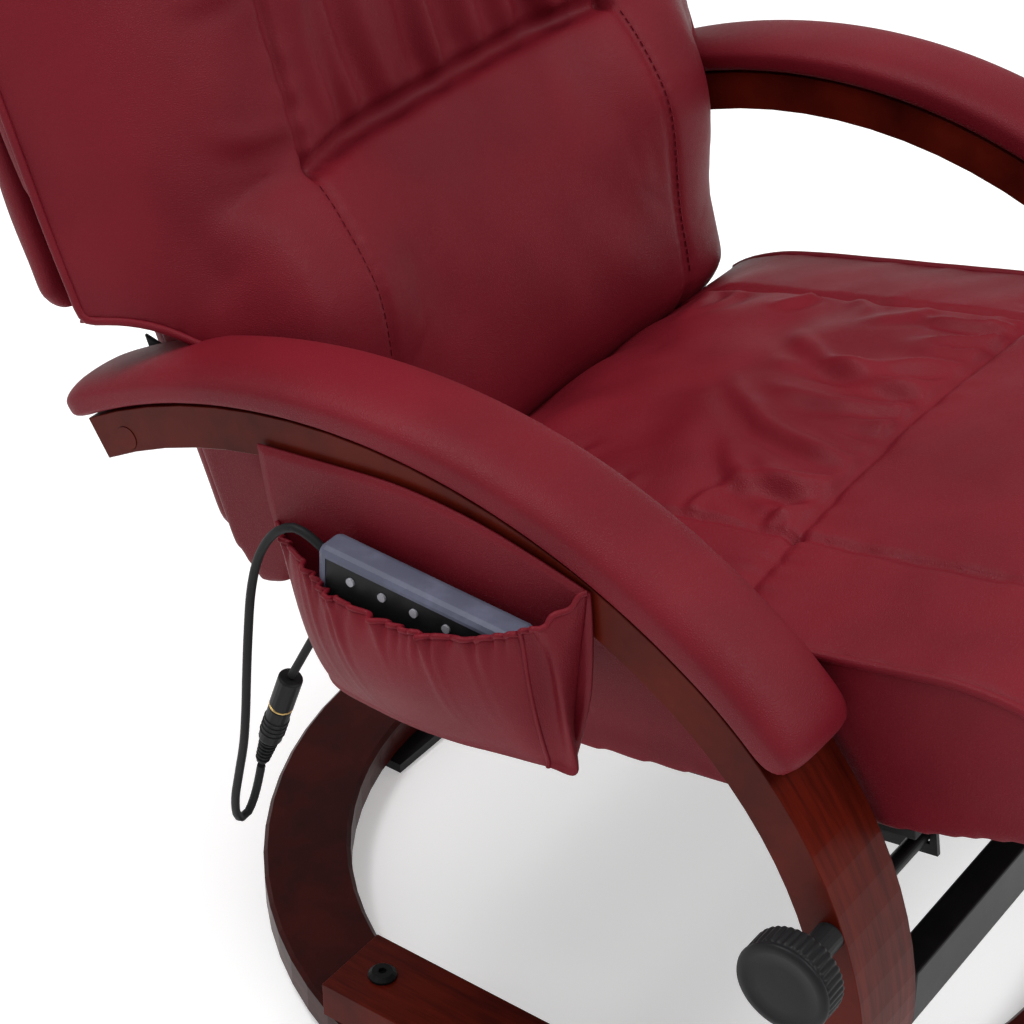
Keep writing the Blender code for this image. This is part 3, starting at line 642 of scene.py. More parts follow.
class Upholstery:
    """A padded piece: a closed form that is inflated as cloth, then sewn."""

    def __init__(self, obj: bpy.types.Object, flat: Callable[[np.ndarray], np.ndarray],
                 shows: Callable[[np.ndarray, np.ndarray], np.ndarray]) -> None:
        """Keep the piece and how its surface is laid flat.

        Args:
            obj: the closed form.
            flat: gives a spot in the cushion's plane for each point.
            shows: gives 0..1 for each point and normal, 1 on the sewn face.
        """
        self.obj = obj
        self.flat = flat
        self.shows = shows

    def remesh(self, voxel: float) -> None:
        """Give the form an even mesh."""
        mod = self.obj.modifiers.new("remesh", "REMESH")
        mod.mode = "VOXEL"
        mod.voxel_size = voxel
        apply_modifiers(self.obj)

    def _group(self, name: str, weights: np.ndarray) -> None:
        """Store weights of 0..1 as a vertex group, in tenths."""
        group = self.obj.vertex_groups.new(name=name)
        tenths = np.round(weights * 10).astype(int)
        for level in range(1, 11):
            group.add([int(i) for i in np.nonzero(tenths == level)[0]], level / 10, "REPLACE")

    def inflate(self, held: Field, slack: Field, pressure: float, grow: float, cap: float) -> None:
        """Swell the form as cloth, held at its seams.

        Args:
            held: gives 0..1 for each point, 1 where the cloth is sewn down.
            slack: gives 0..1 for each point, 1 where the cloth is cut largest.
            pressure: the cloth's inner pressure.
            grow: how much larger the cloth is cut than the form, as a fraction.
            cap: the farthest that a point may move.
        """
        start = read(self.obj.data)
        self._group("sewn", held(start))
        self._group("slack", slack(start))
        mod = self.obj.modifiers.new("cloth", "CLOTH")
        cloth = mod.settings
        cloth.quality = 4
        cloth.mass = 0.3
        cloth.tension_stiffness = 12
        cloth.compression_stiffness = 12
        cloth.shear_stiffness = 6
        cloth.bending_stiffness = 1.2
        cloth.use_pressure = True
        cloth.uniform_pressure_force = pressure
        cloth.vertex_group_shrink = "slack"
        cloth.shrink_min = 0.0
        cloth.shrink_max = -grow
        cloth.vertex_group_mass = "sewn"
        cloth.pin_stiffness = 3.0
        cloth.effector_weights.gravity = 0.0
        mod.collision_settings.use_self_collision = False
        mod.point_cache.frame_start = 1
        mod.point_cache.frame_end = CLOTH_FRAMES
        scene = bpy.context.scene
        for frame in range(1, CLOTH_FRAMES + 1):
            scene.frame_set(frame)
        apply_modifiers(self.obj)
        scene.frame_set(1)
        moved = read(self.obj.data) - start
        size = np.linalg.norm(moved, axis=1)[:, None]
        write_points(self.obj.data, start + moved * np.minimum(1.0, cap / np.maximum(size, 1e-9)))

    def sew(self, seams: list[Seam], creases: list[Crease], uneven: Field) -> None:
        """Subdivide the form once, carve its seams and raise its wrinkles.

        Args:
            seams: the sewn lines.
            creases: the wrinkles.
            uneven: gives the leather's own height at each spot.
        """
        mod = self.obj.modifiers.new("fine", "SUBSURF")
        mod.levels = mod.render_levels = 1
        apply_modifiers(self.obj)
        points, normals = read(self.obj.data), read(self.obj.data, "normal")
        spots = self.flat(points)
        move = np.zeros(len(points))
        for seam in seams:
            move += seam.carve(spots)
        for fold in creases:
            move += fold.lift(spots)
        move += uneven(spots)
        write_points(self.obj.data, points + normals * (move * self.shows(points, normals))[:, None])
        self.obj.data.shade_smooth()


# ---------------------------------------------------------------- the pieces

@dataclass
class Studio:
    """Camera, floor and light."""

    eye: Point = (-1.24599, -0.72787, 1.28241)
    heading: float = -53.96
    pitch: float = 55.81
    lens: float = 93.63

    def build(self) -> None:
        """Set up the camera, a pale floor and three soft lights."""
        scene = bpy.context.scene
        data = bpy.data.cameras.new("camera")
        data.lens = self.lens
        data.sensor_width = 36.0
        data.clip_end = 50.0
        camera = bpy.data.objects.new("camera", data)
        camera.location = from_ring(self.eye)
        camera.rotation_euler = (math.radians(self.pitch), 0.0, math.radians(self.heading))
        scene.collection.objects.link(camera)
        scene.camera = camera
        floor = mesh_object("floor", np.array([(-9, -9, 0), (9, -9, 0), (9, 9, 0), (-9, 9, 0)], float),
                            [(0, 1, 2, 3)])
        sh = Shader("floor_white")
        tone = sh.noise(sh.place(), 2.0, 2.0)
        sh.set(Base_Color=sh.mix(tone, (0.90, 0.90, 0.90), (0.92, 0.92, 0.92)), Roughness=0.9)
        sh.set(Emission_Color=(1.0, 1.0, 1.0, 1.0), Emission_Strength=0.33)
        floor.data.materials.append(sh.material)
        world = bpy.data.worlds.new("studio")
        world.use_nodes = True
        world.node_tree.nodes["Background"].inputs[0].default_value = (1.0, 1.0, 1.0, 1.0)
        world.node_tree.nodes["Background"].inputs[1].default_value = 0.55
        scene.world = world
        scene.view_settings.view_transform = "Standard"
        self._lamp("key", (0.6, -2.0, 2.7), (0.0, 0.0, 0.45), 1.1, 44.0)
        self._lamp("fill", (-2.8, 0.6, 1.9), (0.0, 0.0, 0.40), 1.8, 4.0)
        self._lamp("top", (-0.6, 0.9, 3.0), (0.0, 0.0, 0.50), 1.2, 46.0)

    def _lamp(self, name: str, at: Point, to: Point, size: float, power: float) -> None:
        """Add one soft area light aimed at a point."""
        data = bpy.data.lights.new(name, "AREA")
        data.energy = power
        data.size = size
        lamp = bpy.data.objects.new(name, data)
        lamp.location = from_ring(at)
        lamp.rotation_euler = (Vector(to) - Vector(at)).to_track_quat("-Z", "Y").to_euler()
        bpy.context.scene.collection.objects.link(lamp)


@dataclass
class RemoteCord:
    """The remote control's cord, from the remote down and up again to its plug."""

    finishes: Finishes
    radius: float = 0.00275
    route: tuple[Point, ...] = (
        (-0.3270, 0.0695, 0.4330), (-0.3275, 0.0790, 0.4385), (-0.3285, 0.0900, 0.4410),
        (-0.3295, 0.1010, 0.4350), (-0.3300, 0.1105, 0.4230), (-0.3300, 0.1185, 0.4060),
        (-0.3295, 0.1250, 0.3820), (-0.3290, 0.1295, 0.3530), (-0.3280, 0.1340, 0.3200),
        (-0.3265, 0.1385, 0.2870), (-0.3245, 0.1440, 0.2580), (-0.3225, 0.1515, 0.2300),
        (-0.3205, 0.1580, 0.2060), (-0.3165, 0.1620, 0.1880), (-0.3100, 0.1640, 0.1790),
        (-0.3030, 0.1645, 0.1790), (-0.2985, 0.1630, 0.1880), (-0.2963, 0.1605, 0.2010),
        (-0.2952, 0.1580, 0.2145),
    )
    plug_axis: tuple[Point, Point] = ((-0.2950, 0.1573, 0.2190), (-0.2915, 0.1173, 0.3341))

    def build(self) -> None:
        """Lay the cord, and add the plug's ribs, its grip and a bright ring."""
        line = smooth_line(list(self.route), 0.006)
        cord = piping("remote_lead", [line], self.radius, 4)
        self.finishes.settle(cord, Body.FRAME, "cord_black", "remote_cord")
        nodes = FRAME["nodes"]
        pieces = [nodes["cord_plug_relief"], nodes["cord_plug"]] + self._trim()

    def _trim(self) -> list[bpy.types.Object]:
        """Add ribs on the plug's relief and grip, and a plated ring where plug and socket meet."""
        start, end = Vector(self.plug_axis[0]), Vector(self.plug_axis[1])
        along = (end - start).normalized()
        hoops = [(f"plug_rib_{k + 1}", 0.003 + 0.0034 * k, 0.0040 + 0.00030 * k, 0.0008) for k in range(6)]
        hoops += [(f"plug_grip_{k + 1}", 0.030 + 0.004 * k, 0.0076, 0.0006) for k in range(4)]
        hoops.append(("plug_ring", 0.0536, 0.0071, 0.0007))
        made = []
        for name, far, radius, wire in hoops:
            hoop = self._hoop(name, start + along * far, along, radius, wire)
            self.finishes.settle(hoop, Body.FRAME, "brass" if name == "plug_ring" else "black_plastic")
            made.append(hoop)
        return made

    @staticmethod
    def _hoop(name: str, at: Vector, axis: Vector, radius: float, wire: float) -> bpy.types.Object:
        """Make a thin ring round the plug's axis."""
        turn = Vector((0, 0, 1)).rotation_difference(axis).to_matrix()
        sides, cuts = 32, 10
        points = []
        for k in range(sides):
            a = math.tau * k / sides
            for j in range(cuts):
                b = math.tau * j / cuts
                reach = radius + wire * math.cos(b)
                spot = Vector((math.cos(a) * reach, math.sin(a) * reach, wire * math.sin(b)))
                points.append(tuple(at + turn @ spot))
        faces = []
        for r in range(sides):
            near, far = r * cuts, (r + 1) % sides * cuts
            faces += [(near + i, near + (i + 1) % cuts, far + (i + 1) % cuts, far + i) for i in range(cuts)]
        return mesh_object(name, np.array(points), faces)


@dataclass
class SeatCushion:
    """The seat: a top and front panel, sewn boxing at the sides and a piped edge."""

    finishes: Finishes
    half: float = 0.2395
    crown: float = 0.020
    seam_x: float = 0.150
    cross_y: float = -0.128
    outline: tuple[tuple[float, float], ...] = (
        (0.148, 0.270), (0.151, 0.300), (0.151, 0.333), (0.116, 0.3555), (0.020, 0.380), (-0.074, 0.401),
        (-0.203, 0.426), (-0.284, 0.443), (-0.325, 0.440), (-0.362, 0.424), (-0.380, 0.402), (-0.377, 0.379),
        (-0.355, 0.364), (-0.328, 0.357), (-0.301, 0.347), (-0.254, 0.330), (-0.163, 0.312), (-0.034, 0.287),
        (0.130, 0.264),
    )

    def build(self) -> None:
        """Build, inflate and sew the cushion, and lay its piping."""
        form = self._form()
        cushion = Upholstery(form, lambda p: p[:, :2], self._shows)
        cushion.remesh(0.0055)
        cushion.inflate(self._held, self._slack, 4.0, 0.040, 0.022)
        cushion.sew(self._seams(), self._creases(), self._surface)
        for side, name in ((-1, "right"), (1, "left")):
            edge = [(side * (self.half + 0.0005), y, z + 0.001) for y, z in self.outline[2:12]]
            welt = piping(f"seat_piping_{name}", [laid_on(smooth_line(edge, 0.008), form, 0.020)], 0.0030)
            self.finishes.settle(welt, Body.SEAT, "leather")
        self.finishes.settle(form, Body.SEAT, "leather", "seat_cushion")
        LOG.info("seat cushion")

    def _form(self) -> bpy.types.Object:
        """Make the closed form: one outline in the YZ plane for each place across."""
        base = smooth_line([(0.0, y, z) for y, z in self.outline + self.outline[:1]], 0.010)[:-1, 1:]
        middle = base.mean(0)
        ends = ((0.45, 0.2365), (0.75, 0.2380), (0.93, 0.2390), (0.985, 0.2394))   # share of the outline, x
        rings = [np.column_stack([np.full(len(base), -x), middle + (base - middle) * share])
                 for share, x in ends]
        top = base[:, 1] > np.interp(base[:, 0], (-0.38, -0.33, 0.15), (0.395, 0.400, 0.300))
        for x in np.linspace(-self.half, self.half, 65):
            ring = base.copy()
            rise = self.crown * (1 - abs(x / self.half) ** 2.4)
            inside = ease(0.150 - ring[:, 0], 0.0, 0.05) * ease(ring[:, 0], -0.385, -0.30)
            ring[:, 1] += np.where(top, rise * inside, 0.0)
            rings.append(np.column_stack([np.full(len(base), x), ring]))
        rings += [np.column_stack([np.full(len(base), x), middle + (base - middle) * share])
                  for share, x in reversed(ends)]
        return lofted("seat_upholstery", np.array(rings))

    def _shows(self, points: np.ndarray, normals: np.ndarray) -> np.ndarray:
        """Say where the top and front panels are."""
        return ease(normals[:, 2] - 0.35 * normals[:, 1], -0.1, 0.35)

    def _held(self, points: np.ndarray) -> np.ndarray:
        """Say where the cloth is sewn down: bottom, rear, side edges and the seams."""
        x, y, z = points.T
        floor = np.interp(y, (-0.38, -0.33, -0.163, 0.15), (0.375, 0.362, 0.314, 0.268))
        weight = 1 - ease(z - floor, 0.006, 0.020)
        weight = np.maximum(weight, ease(y, 0.135, 0.147))
        edge = np.interp(y, (-0.38, -0.325, -0.284, 0.116, 0.151), (0.40, 0.440, 0.443, 0.356, 0.334))
        rim = hump(np.abs(x) - self.half, 0.006) * hump(z - edge, 0.009)
        seams = hump(np.abs(x) - self.seam_x, 0.0045) * (z > floor + 0.03)
        cross = hump(y - self.cross_y, 0.0045) * (z > floor + 0.03)
        return np.clip(np.maximum.reduce([weight, rim, 0.9 * seams, 0.9 * cross]), 0, 1)

    def _slack(self, points: np.ndarray) -> np.ndarray:
        """Say where the leather is gathered: the middle panel behind the cross seam."""
        middle = 1 - ease(np.abs(points[:, 0]), 0.13, 0.17)
        return 0.08 + 0.92 * middle * ease(points[:, 1], self.cross_y - 0.01, self.cross_y + 0.02)

    def _seams(self) -> list[Seam]:
        """List the seams of the top."""
        s, c = self.seam_x, self.cross_y
        long_seams = [Seam(((side * s, 0.150), (side * s, c), (side * (s + 0.004), -0.385)), 0.0038, 0.0036,
                           0.0004, 0.023, 0.014) for side in (-1, 1)]
        return long_seams + [Seam(((-s, c), (0.0, c + 0.004), (s, c)), 0.0050, 0.0042, 0.0008, 0.027, 0.018),
                             Seam(((s, c), (self.half, c - 0.004)), 0.0030, 0.0045, 0.0010),
                             Seam(((-s, c), (-self.half, c - 0.004)), 0.0030, 0.0045, 0.0010)]

    def _creases(self) -> list[Crease]:
        """Fan wrinkles back from the cross seam, and a few from the long seams."""
        rnd = random.Random(11)
        found = []
        for k in range(13):
            x = -0.138 + 0.023 * k + rnd.uniform(-0.006, 0.006)
            reach = rnd.uniform(0.05, 0.15)
            lean = rnd.uniform(-0.5, 0.5) * reach - 0.3 * x
            found.append(Crease((x, self.cross_y + 0.004), (x + lean, self.cross_y + reach),
                                rnd.uniform(0.0022, 0.0052), rnd.uniform(0.005, 0.010)))
        for side in (-1, 1):
            for k in range(6):
                y = -0.10 + 0.045 * k + rnd.uniform(-0.01, 0.01)
                reach = rnd.uniform(0.03, 0.075)
                found.append(Crease((side * (self.seam_x - 0.004), y),
                                    (side * (self.seam_x - reach), y + rnd.uniform(-0.03, 0.04)),
                                    rnd.uniform(0.0012, 0.0030), rnd.uniform(0.005, 0.009)))
        return found

    def _surface(self, spots: np.ndarray) -> np.ndarray:
        """Give the slack leather of the middle panel its soft unevenness."""
        middle = 1 - ease(np.abs(spots[:, 0]), 0.12, 0.16)
        rear = ease(spots[:, 1], self.cross_y, self.cross_y + 0.03)
        return 0.0016 * blobs(spots, 0.060, 3) * middle * rear + 0.0004 * blobs(spots, 0.05, 4)


@dataclass
class BackCushion:
    """The back: lumbar cushion, side bolsters with wings, a gathered panel and a headrest."""

    finishes: Finishes
    place: Matrix = Matrix.Translation((0, 0.160, 0.330)) @ Matrix.Rotation(math.radians(-20.0), 4, "X")
    low_half: float = 0.2420
    wing_half: float = 0.310
    wing_from: float = 0.196
    top: float = 0.688
    seam_x: float = 0.156
    lumbar_top: float = 0.232
    gather_top: float = 0.470
    rear: float = 0.0575

    def build(self) -> None:
        """Build, inflate and sew the cushion, and lay the wings' welts."""
        form = lofted("back_upholstery", self._rings())
        cushion = Upholstery(form, lambda p: p[:, [0, 2]], self._shows)
        cushion.remesh(0.0060)
        cushion.inflate(self._held, self._slack, 4.0, 0.040, 0.020)
        cushion.sew(self._seams(), self._creases(), self._surface)
        self._welts(form)
        self._stitches(form)
        form.data.transform(self.place)
        self.finishes.settle(form, Body.BACK, "leather")
        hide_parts("back_cushion", "back_wing_right", "back_wing_left")
        self._rear_cover()
        LOG.info("back cushion")

    def half_at(self, s: float) -> float:
        """Give the half width at a height along the back."""
        if s < self.wing_from:
            return self.low_half
        shrink = 0.030 * max(0.0, (s - 0.56) / 0.13) ** 2.2
        return self.wing_half - shrink

    def front_at(self, x: float, s: float) -> float:
        """Give the depth of the front face at a place."""
        side = abs(x)
        lumbar = 0.038 * math.sin(math.pi * min(max((s + 0.05) / (self.lumbar_top + 0.05), 0), 1)) ** 0.55
        lumbar *= float(1 - ease(np.array(side), 0.200, self.low_half + 0.016))
        if s > self.lumbar_top:
            lumbar = 0.0
        high = min(max((s - self.lumbar_top) / (self.gather_top - self.lumbar_top), 0), 1)
        gather = 0.016 * math.sin(math.pi * high) ** 0.6 if 0 < high < 1 else 0.0
        gather *= float(1 - ease(np.array(side), 0.12, 0.20))
        rest = min(max((s - self.gather_top) / (self.top - self.gather_top), 0), 1)
        pillow = 0.034 * math.sin(math.pi * rest) ** 0.6 if 0 < rest < 1 else 0.0
        pillow *= float(1 - ease(np.array(side), 0.14, 0.28))
        swell = float(ease(np.array(s), 0.06, 0.17))
        edge = self.wing_half if s >= self.wing_from - 0.02 else self.low_half + 0.055
        turn = max(0.0, (side - 0.16) / (edge - 0.16))
        wing = -0.024 * swell + (0.038 + 0.024 * swell) * turn ** (2.2 + 1.8 * swell)
        wing *= float(ease(np.array(side), 0.08, 0.17))
        return wing - lumbar - gather - pillow

    @staticmethod
    def _rounded(far: float) -> float:
        """Give the share of the full thickness at a distance from the end, rounded over 30 mm."""
        return min(1.0, max(0.0, far / 0.030)) ** 0.5

    def _rings(self) -> np.ndarray:
        """List the horizontal outlines from the bottom of the back to its top."""
        heights = [-0.010, -0.004, 0.004, 0.010] + list(np.linspace(0.020, self.wing_from - 0.002, 22))
        heights += [self.wing_from, self.wing_from + 0.004]
        heights += list(np.linspace(self.wing_from + 0.012, 0.670, 52))
        heights += [0.678, 0.684, self.top]
        rings = []
        for s in heights:
            half = self.half_at(s)
            end = self._rounded(s + 0.012) * self._rounded(self.top + 0.004 - s)
            across = np.linspace(-half, half, 45)
            rear = [min(self.rear, self.front_at(x, s) + (0.007 + max(s - self.wing_from, 0.0) * 0.106
                                                          if half > 0.25 and abs(x) > 0.24 else 0.08))
                    for x in across]
            front = [self.front_at(x, s) for x in across]
            middle = [(f + r) / 2 for f, r in zip(front, rear)]
            face = [(x, m + (f - m) * end, s) for x, m, f in zip(across, middle, front)]
            behind = [(x, m + (r - m) * max(end, 0.6), s) for x, m, r in zip(across, middle, rear)]
            rings.append([(x, y, s - self._hem_drop(x, s, half)) for x, y, _ in face + behind[::-1]])
        return np.array(rings)

    def _hem_drop(self, x: float, s: float, half: float) -> float:
        """Give how far the wing's bottom hangs lower near the main cushion, over the armrest."""
        if half < 0.25 or abs(x) < self.low_half:
            return 0.0
        inner = 1 - float(ease(np.array(abs(x)), 0.240, 0.306))
        return 0.050 * inner * (1 - float(ease(np.array(s), self.wing_from, self.wing_from + 0.09)))

    def _shows(self, points: np.ndarray, normals: np.ndarray) -> np.ndarray:
        """Say where the front face is."""
        return ease(-normals[:, 1], 0.0, 0.45)

    def _held(self, points: np.ndarray) -> np.ndarray:
        """Say where the cloth is sewn down: the rear, the seams and the wings' edges."""
        x, y, s = points.T
        side = np.abs(x)
        rear = ease(y, 0.044, 0.054)
        edges = hump(side - self.wing_half, 0.007) * (s > self.wing_from)
        seam = hump(side - self.seam_x, 0.0045) * ease(-y, -0.03, 0.0)
        cross = hump(s - self.lumbar_top, 0.006) * (side < self.seam_x) + hump(s - self.gather_top, 0.006) * (
            side < self.seam_x)
        low = hump(side - self.low_half, 0.006) * (s < self.wing_from)
        foot = 1 - ease(s, -0.008, 0.002)
        return np.clip(np.maximum.reduce([rear, edges, 0.8 * seam, 0.9 * cross, 0.7 * low, foot]), 0, 1)

    def _slack(self, points: np.ndarray) -> np.ndarray:
        """Say where the leather is gathered: the panel above the lumbar cushion."""
        middle = 1 - ease(np.abs(points[:, 0]), 0.13, 0.17)
        high = ease(points[:, 2], self.lumbar_top - 0.01, self.lumbar_top + 0.02)
        high *= 1 - ease(points[:, 2], self.gather_top, self.gather_top + 0.03)
        return 0.12 + 0.88 * middle * high

    def _seams(self) -> list[Seam]:
        """List the seams of the front face."""
        found = []
        for side in (-1, 1):
            found.append(Seam(((side * self.seam_x, 0.0), (side * (self.seam_x + 0.001), self.lumbar_top)),
                              0.0030, 0.0042, 0.0003, 0.011, 0.008))
            found.append(Seam(((side * self.seam_x, self.lumbar_top), (side * self.seam_x, self.top)),
                              0.0060, 0.0045, 0.0010, 0.024, 0.016))
        found.append(Seam(((-self.seam_x, self.lumbar_top), (self.seam_x, self.lumbar_top)), 0.0100, 0.0060,
                          0.0004, 0.030, 0.014))
        found.append(Seam(((-self.seam_x, self.gather_top), (self.seam_x, self.gather_top)), 0.0100, 0.0065,
                          0.0006, 0.026, 0.014))
        return found

    def _creases(self) -> list[Crease]:
        """Run folds up the gathered panel, and tug lines beside the seams."""
        rnd = random.Random(23)
        found = []
        for end, way in ((self.lumbar_top, 1), (self.gather_top, -1)):
            for k in range(7):
                x = -0.120 + 0.040 * k + rnd.uniform(-0.009, 0.009)
                reach = rnd.uniform(0.10, 0.20)
                found.append(Crease((x, end + way * 0.003), (x + rnd.uniform(-0.02, 0.02), end + way * reach),
                                    rnd.uniform(0.0050, 0.0090), rnd.uniform(0.009, 0.0145)))
        for side in (-1, 1):
            for k in range(5):
                s = 0.26 + 0.09 * k + rnd.uniform(-0.01, 0.01)
                far, rise = self.seam_x + rnd.uniform(0.04, 0.08), rnd.uniform(-0.02, 0.03)
                found.append(Crease((side * (self.seam_x + 0.003), s), (side * far, s + rise),
                                    rnd.uniform(0.0010, 0.0022), rnd.uniform(0.006, 0.010)))
        return found

    def _surface(self, spots: np.ndarray) -> np.ndarray:
        """Give the leather a soft unevenness."""
        return 0.0007 * blobs(spots, 0.075, 5)

    def _rear_cover(self) -> None:
        """Build the leather cover that closes the back from behind."""
        half = np.array([(0.0, 0.012), (0.150, 0.012), (0.222, 0.013), (0.2335, 0.030), (0.2335, 0.120),
                         (0.2335, 0.192), (0.240, 0.2010), (0.270, 0.2015), (0.298, 0.2030), (0.3070, 0.214),
                         (0.3075, 0.400), (0.3060, 0.560), (0.2980, 0.620), (0.2760, 0.652), (0.230, 0.664),
                         (0.120, 0.672), (0.0, 0.673)])
        outline = np.concatenate([half, (half[1:-1] * (-1, 1))[::-1]])
        centre = np.array((0.0, 0.345))
        rings = []
        for depth, inset in ((0.0562, 0.0), (0.0640, -0.0008), (0.0700, 0.0012), (0.0738, 0.0050),
                             (0.0752, 0.0120), (0.0762, 0.0600)):
            away = outline - centre
            size = np.linalg.norm(away, axis=1)[:, None]
            moved = centre + away * (1 - inset / size)
            rings.append(np.column_stack([moved[:, 0], np.full(len(moved), depth), moved[:, 1]]))
        cover = lofted("back_cover", np.array(rings))
        skin = Upholstery(cover, lambda p: p[:, [0, 2]], lambda p, n: ease(n[:, 1], 0.3, 0.8))
        skin.remesh(0.0060)
        skin.sew([Seam(((-0.30, 0.232), (0.30, 0.232)), 0.0016, 0.0035),
                  Seam(((0.0, 0.232), (0.0, 0.66)), 0.0016, 0.0035)], [],
                 lambda spots: 0.0010 * blobs(spots, 0.11, 8))
        cover.data.transform(self.place)
        self.finishes.settle(cover, Body.BACK, "leather")
        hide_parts("back_rear_cover")

    def _stitches(self, form: bpy.types.Object) -> None:
        """Sew the lumbar cushion's two side seams."""
        for side, name in ((-1, "right"), (1, "left")):
            line = np.array([(side * (self.seam_x + 0.0035), self.front_at(self.seam_x, s), s)
                             for s in np.linspace(0.03, self.lumbar_top - 0.01, 60)])
            sewn = stitching(f"lumbar_stitches_{name}", laid_on(line, form, 0.03), 0.0040, 0.0022, 0.0005)
            sewn.data.transform(self.place)
            self.finishes.settle(sewn, Body.BACK, "leather")

    def _welts(self, form: bpy.types.Object) -> None:
        """Lay the welts along the wings' front and bottom edges."""
        for side, name in ((-1, "right"), (1, "left")):
            up = [(side * (self.half_at(s) + 0.0005), self.front_at(self.half_at(s), s) - 0.0005, s)
                  for s in np.linspace(self.wing_from + 0.004, 0.655, 30)]
            foot = self.wing_from + 0.002
            shelf = [(side * x, self.front_at(x, foot) + 0.002,
                      foot - self._hem_drop(x, foot, self.wing_half))
                     for x in np.linspace(self.low_half + 0.012, self.wing_half - 0.002, 8)]
            line = laid_on(smooth_line(shelf + up, 0.008), form, 0.012)
            welt = piping(f"wing_welt_{name}", [line], 0.0026)
            welt.data.transform(self.place)
            self.finishes.settle(welt, Body.BACK, "leather")


@dataclass
class Armrests:
    """The padded armrests on top of the bent arms."""

    finishes: Finishes
    thick: float = 0.027
    side: float = 0.0045

    def line(self) -> list[tuple[float, float, float]]:
        """List (y, z, bend angle) along the arm's outer edge under the pad."""
        y, z, turn = ARM_FOOT_Y - ARM_FOOT_L, RING_TOP + FIT + ARM_T / 2, 0.0
        found = []
        for radius, bend in ARM_BENDS:
            a = math.radians(turn)
            cy, cz = y + radius * math.sin(a), z + radius * math.cos(a)
            for k in range(1, round(bend / 1.5) + 1):
                now = math.radians(turn + bend * k / round(bend / 1.5))
                spot = (cy - radius * math.sin(now), cz - radius * math.cos(now), math.degrees(now))
                if spot[2] >= PAD_FROM:
                    found.append(spot)
            turn += bend
            a = math.radians(turn)
            y, z = cy - radius * math.sin(a), cz - radius * math.cos(a)
        return found

    def build(self) -> None:
        """Build both pads."""
        for sign, name in ((-1, "right"), (1, "left")):
            self._pad(sign, name)
        LOG.info("armrest pads")

    def _pad(self, sign: int, name: str) -> None:
        """Build one pad: a soft D section swept along the arm, closed by rounded ends."""
        line = self.line()
        first, last = line[0], line[-1]
        path = []
        for far, spot in ((0.0245, first), (0.021, first), (0.015, first), (0.007, first)):
            path.append((*self._along(spot, -far), spot[2], self._end(max(far - 0.009, 0.0), 0.0160)))
        path += [(*spot[:2], spot[2], 1.0) for spot in line]
        for far, spot in ((0.007, last), (0.013, last), (0.0165, last)):
            path.append((*self._along(spot, far), spot[2], self._end(far, 0.017)))
        x_mid = sign * (ARM_INNER + ARM_OUTER) / 2
        half = (ARM_OUTER - ARM_INNER) / 2 + self.side
        rings = []
        for y, z, turn, size in path:
            a = math.radians(turn)
            thick = self.thick * (1.0 - 0.24 * float(ease(np.array(turn), 155.0, 200.0)))
            ring = []
            for k in range(48):
                b = math.tau * k / 48
                u = math.copysign(abs(math.cos(b)) ** 0.62, math.cos(b))
                v = math.copysign(abs(math.sin(b)) ** (0.72 if math.sin(b) > 0 else 0.40), math.sin(b))
                lift = ARM_T / 2 + FIT + thick * (0.5 + 0.5 * v * (0.35 + 0.65 * size)) - 0.0003 * (v < 0)
                x = x_mid + u * (half - 0.012 * (1 - size))
                crown = 0.0025 * (1 - u * u) * max(v, 0) * size
                ring.append((x, y - (lift + crown) * math.sin(a), z - (lift + crown) * math.cos(a)))
            rings.append(ring)
        pad = lofted(f"armrest_{name}", np.array(rings))
        mod = pad.modifiers.new("soft", "SUBSURF")
        mod.levels = mod.render_levels = 1
        self.finishes.settle(pad, Body.FRAME, "leather")
        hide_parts(f"arm_pad_{name}")

    @staticmethod
    def _along(spot: tuple[float, float, float], far: float) -> tuple[float, float]:
        """Move a spot along the arm's own direction."""
        a = math.radians(spot[2])
        return spot[0] - far * math.cos(a), spot[1] + far * math.sin(a)

    @staticmethod
    def _end(far: float, reach: float) -> float:
        """Give the share of the full section at a distance past the pad's straight part."""
        return math.sqrt(max(0.0, 1 - (far / reach) ** 2))


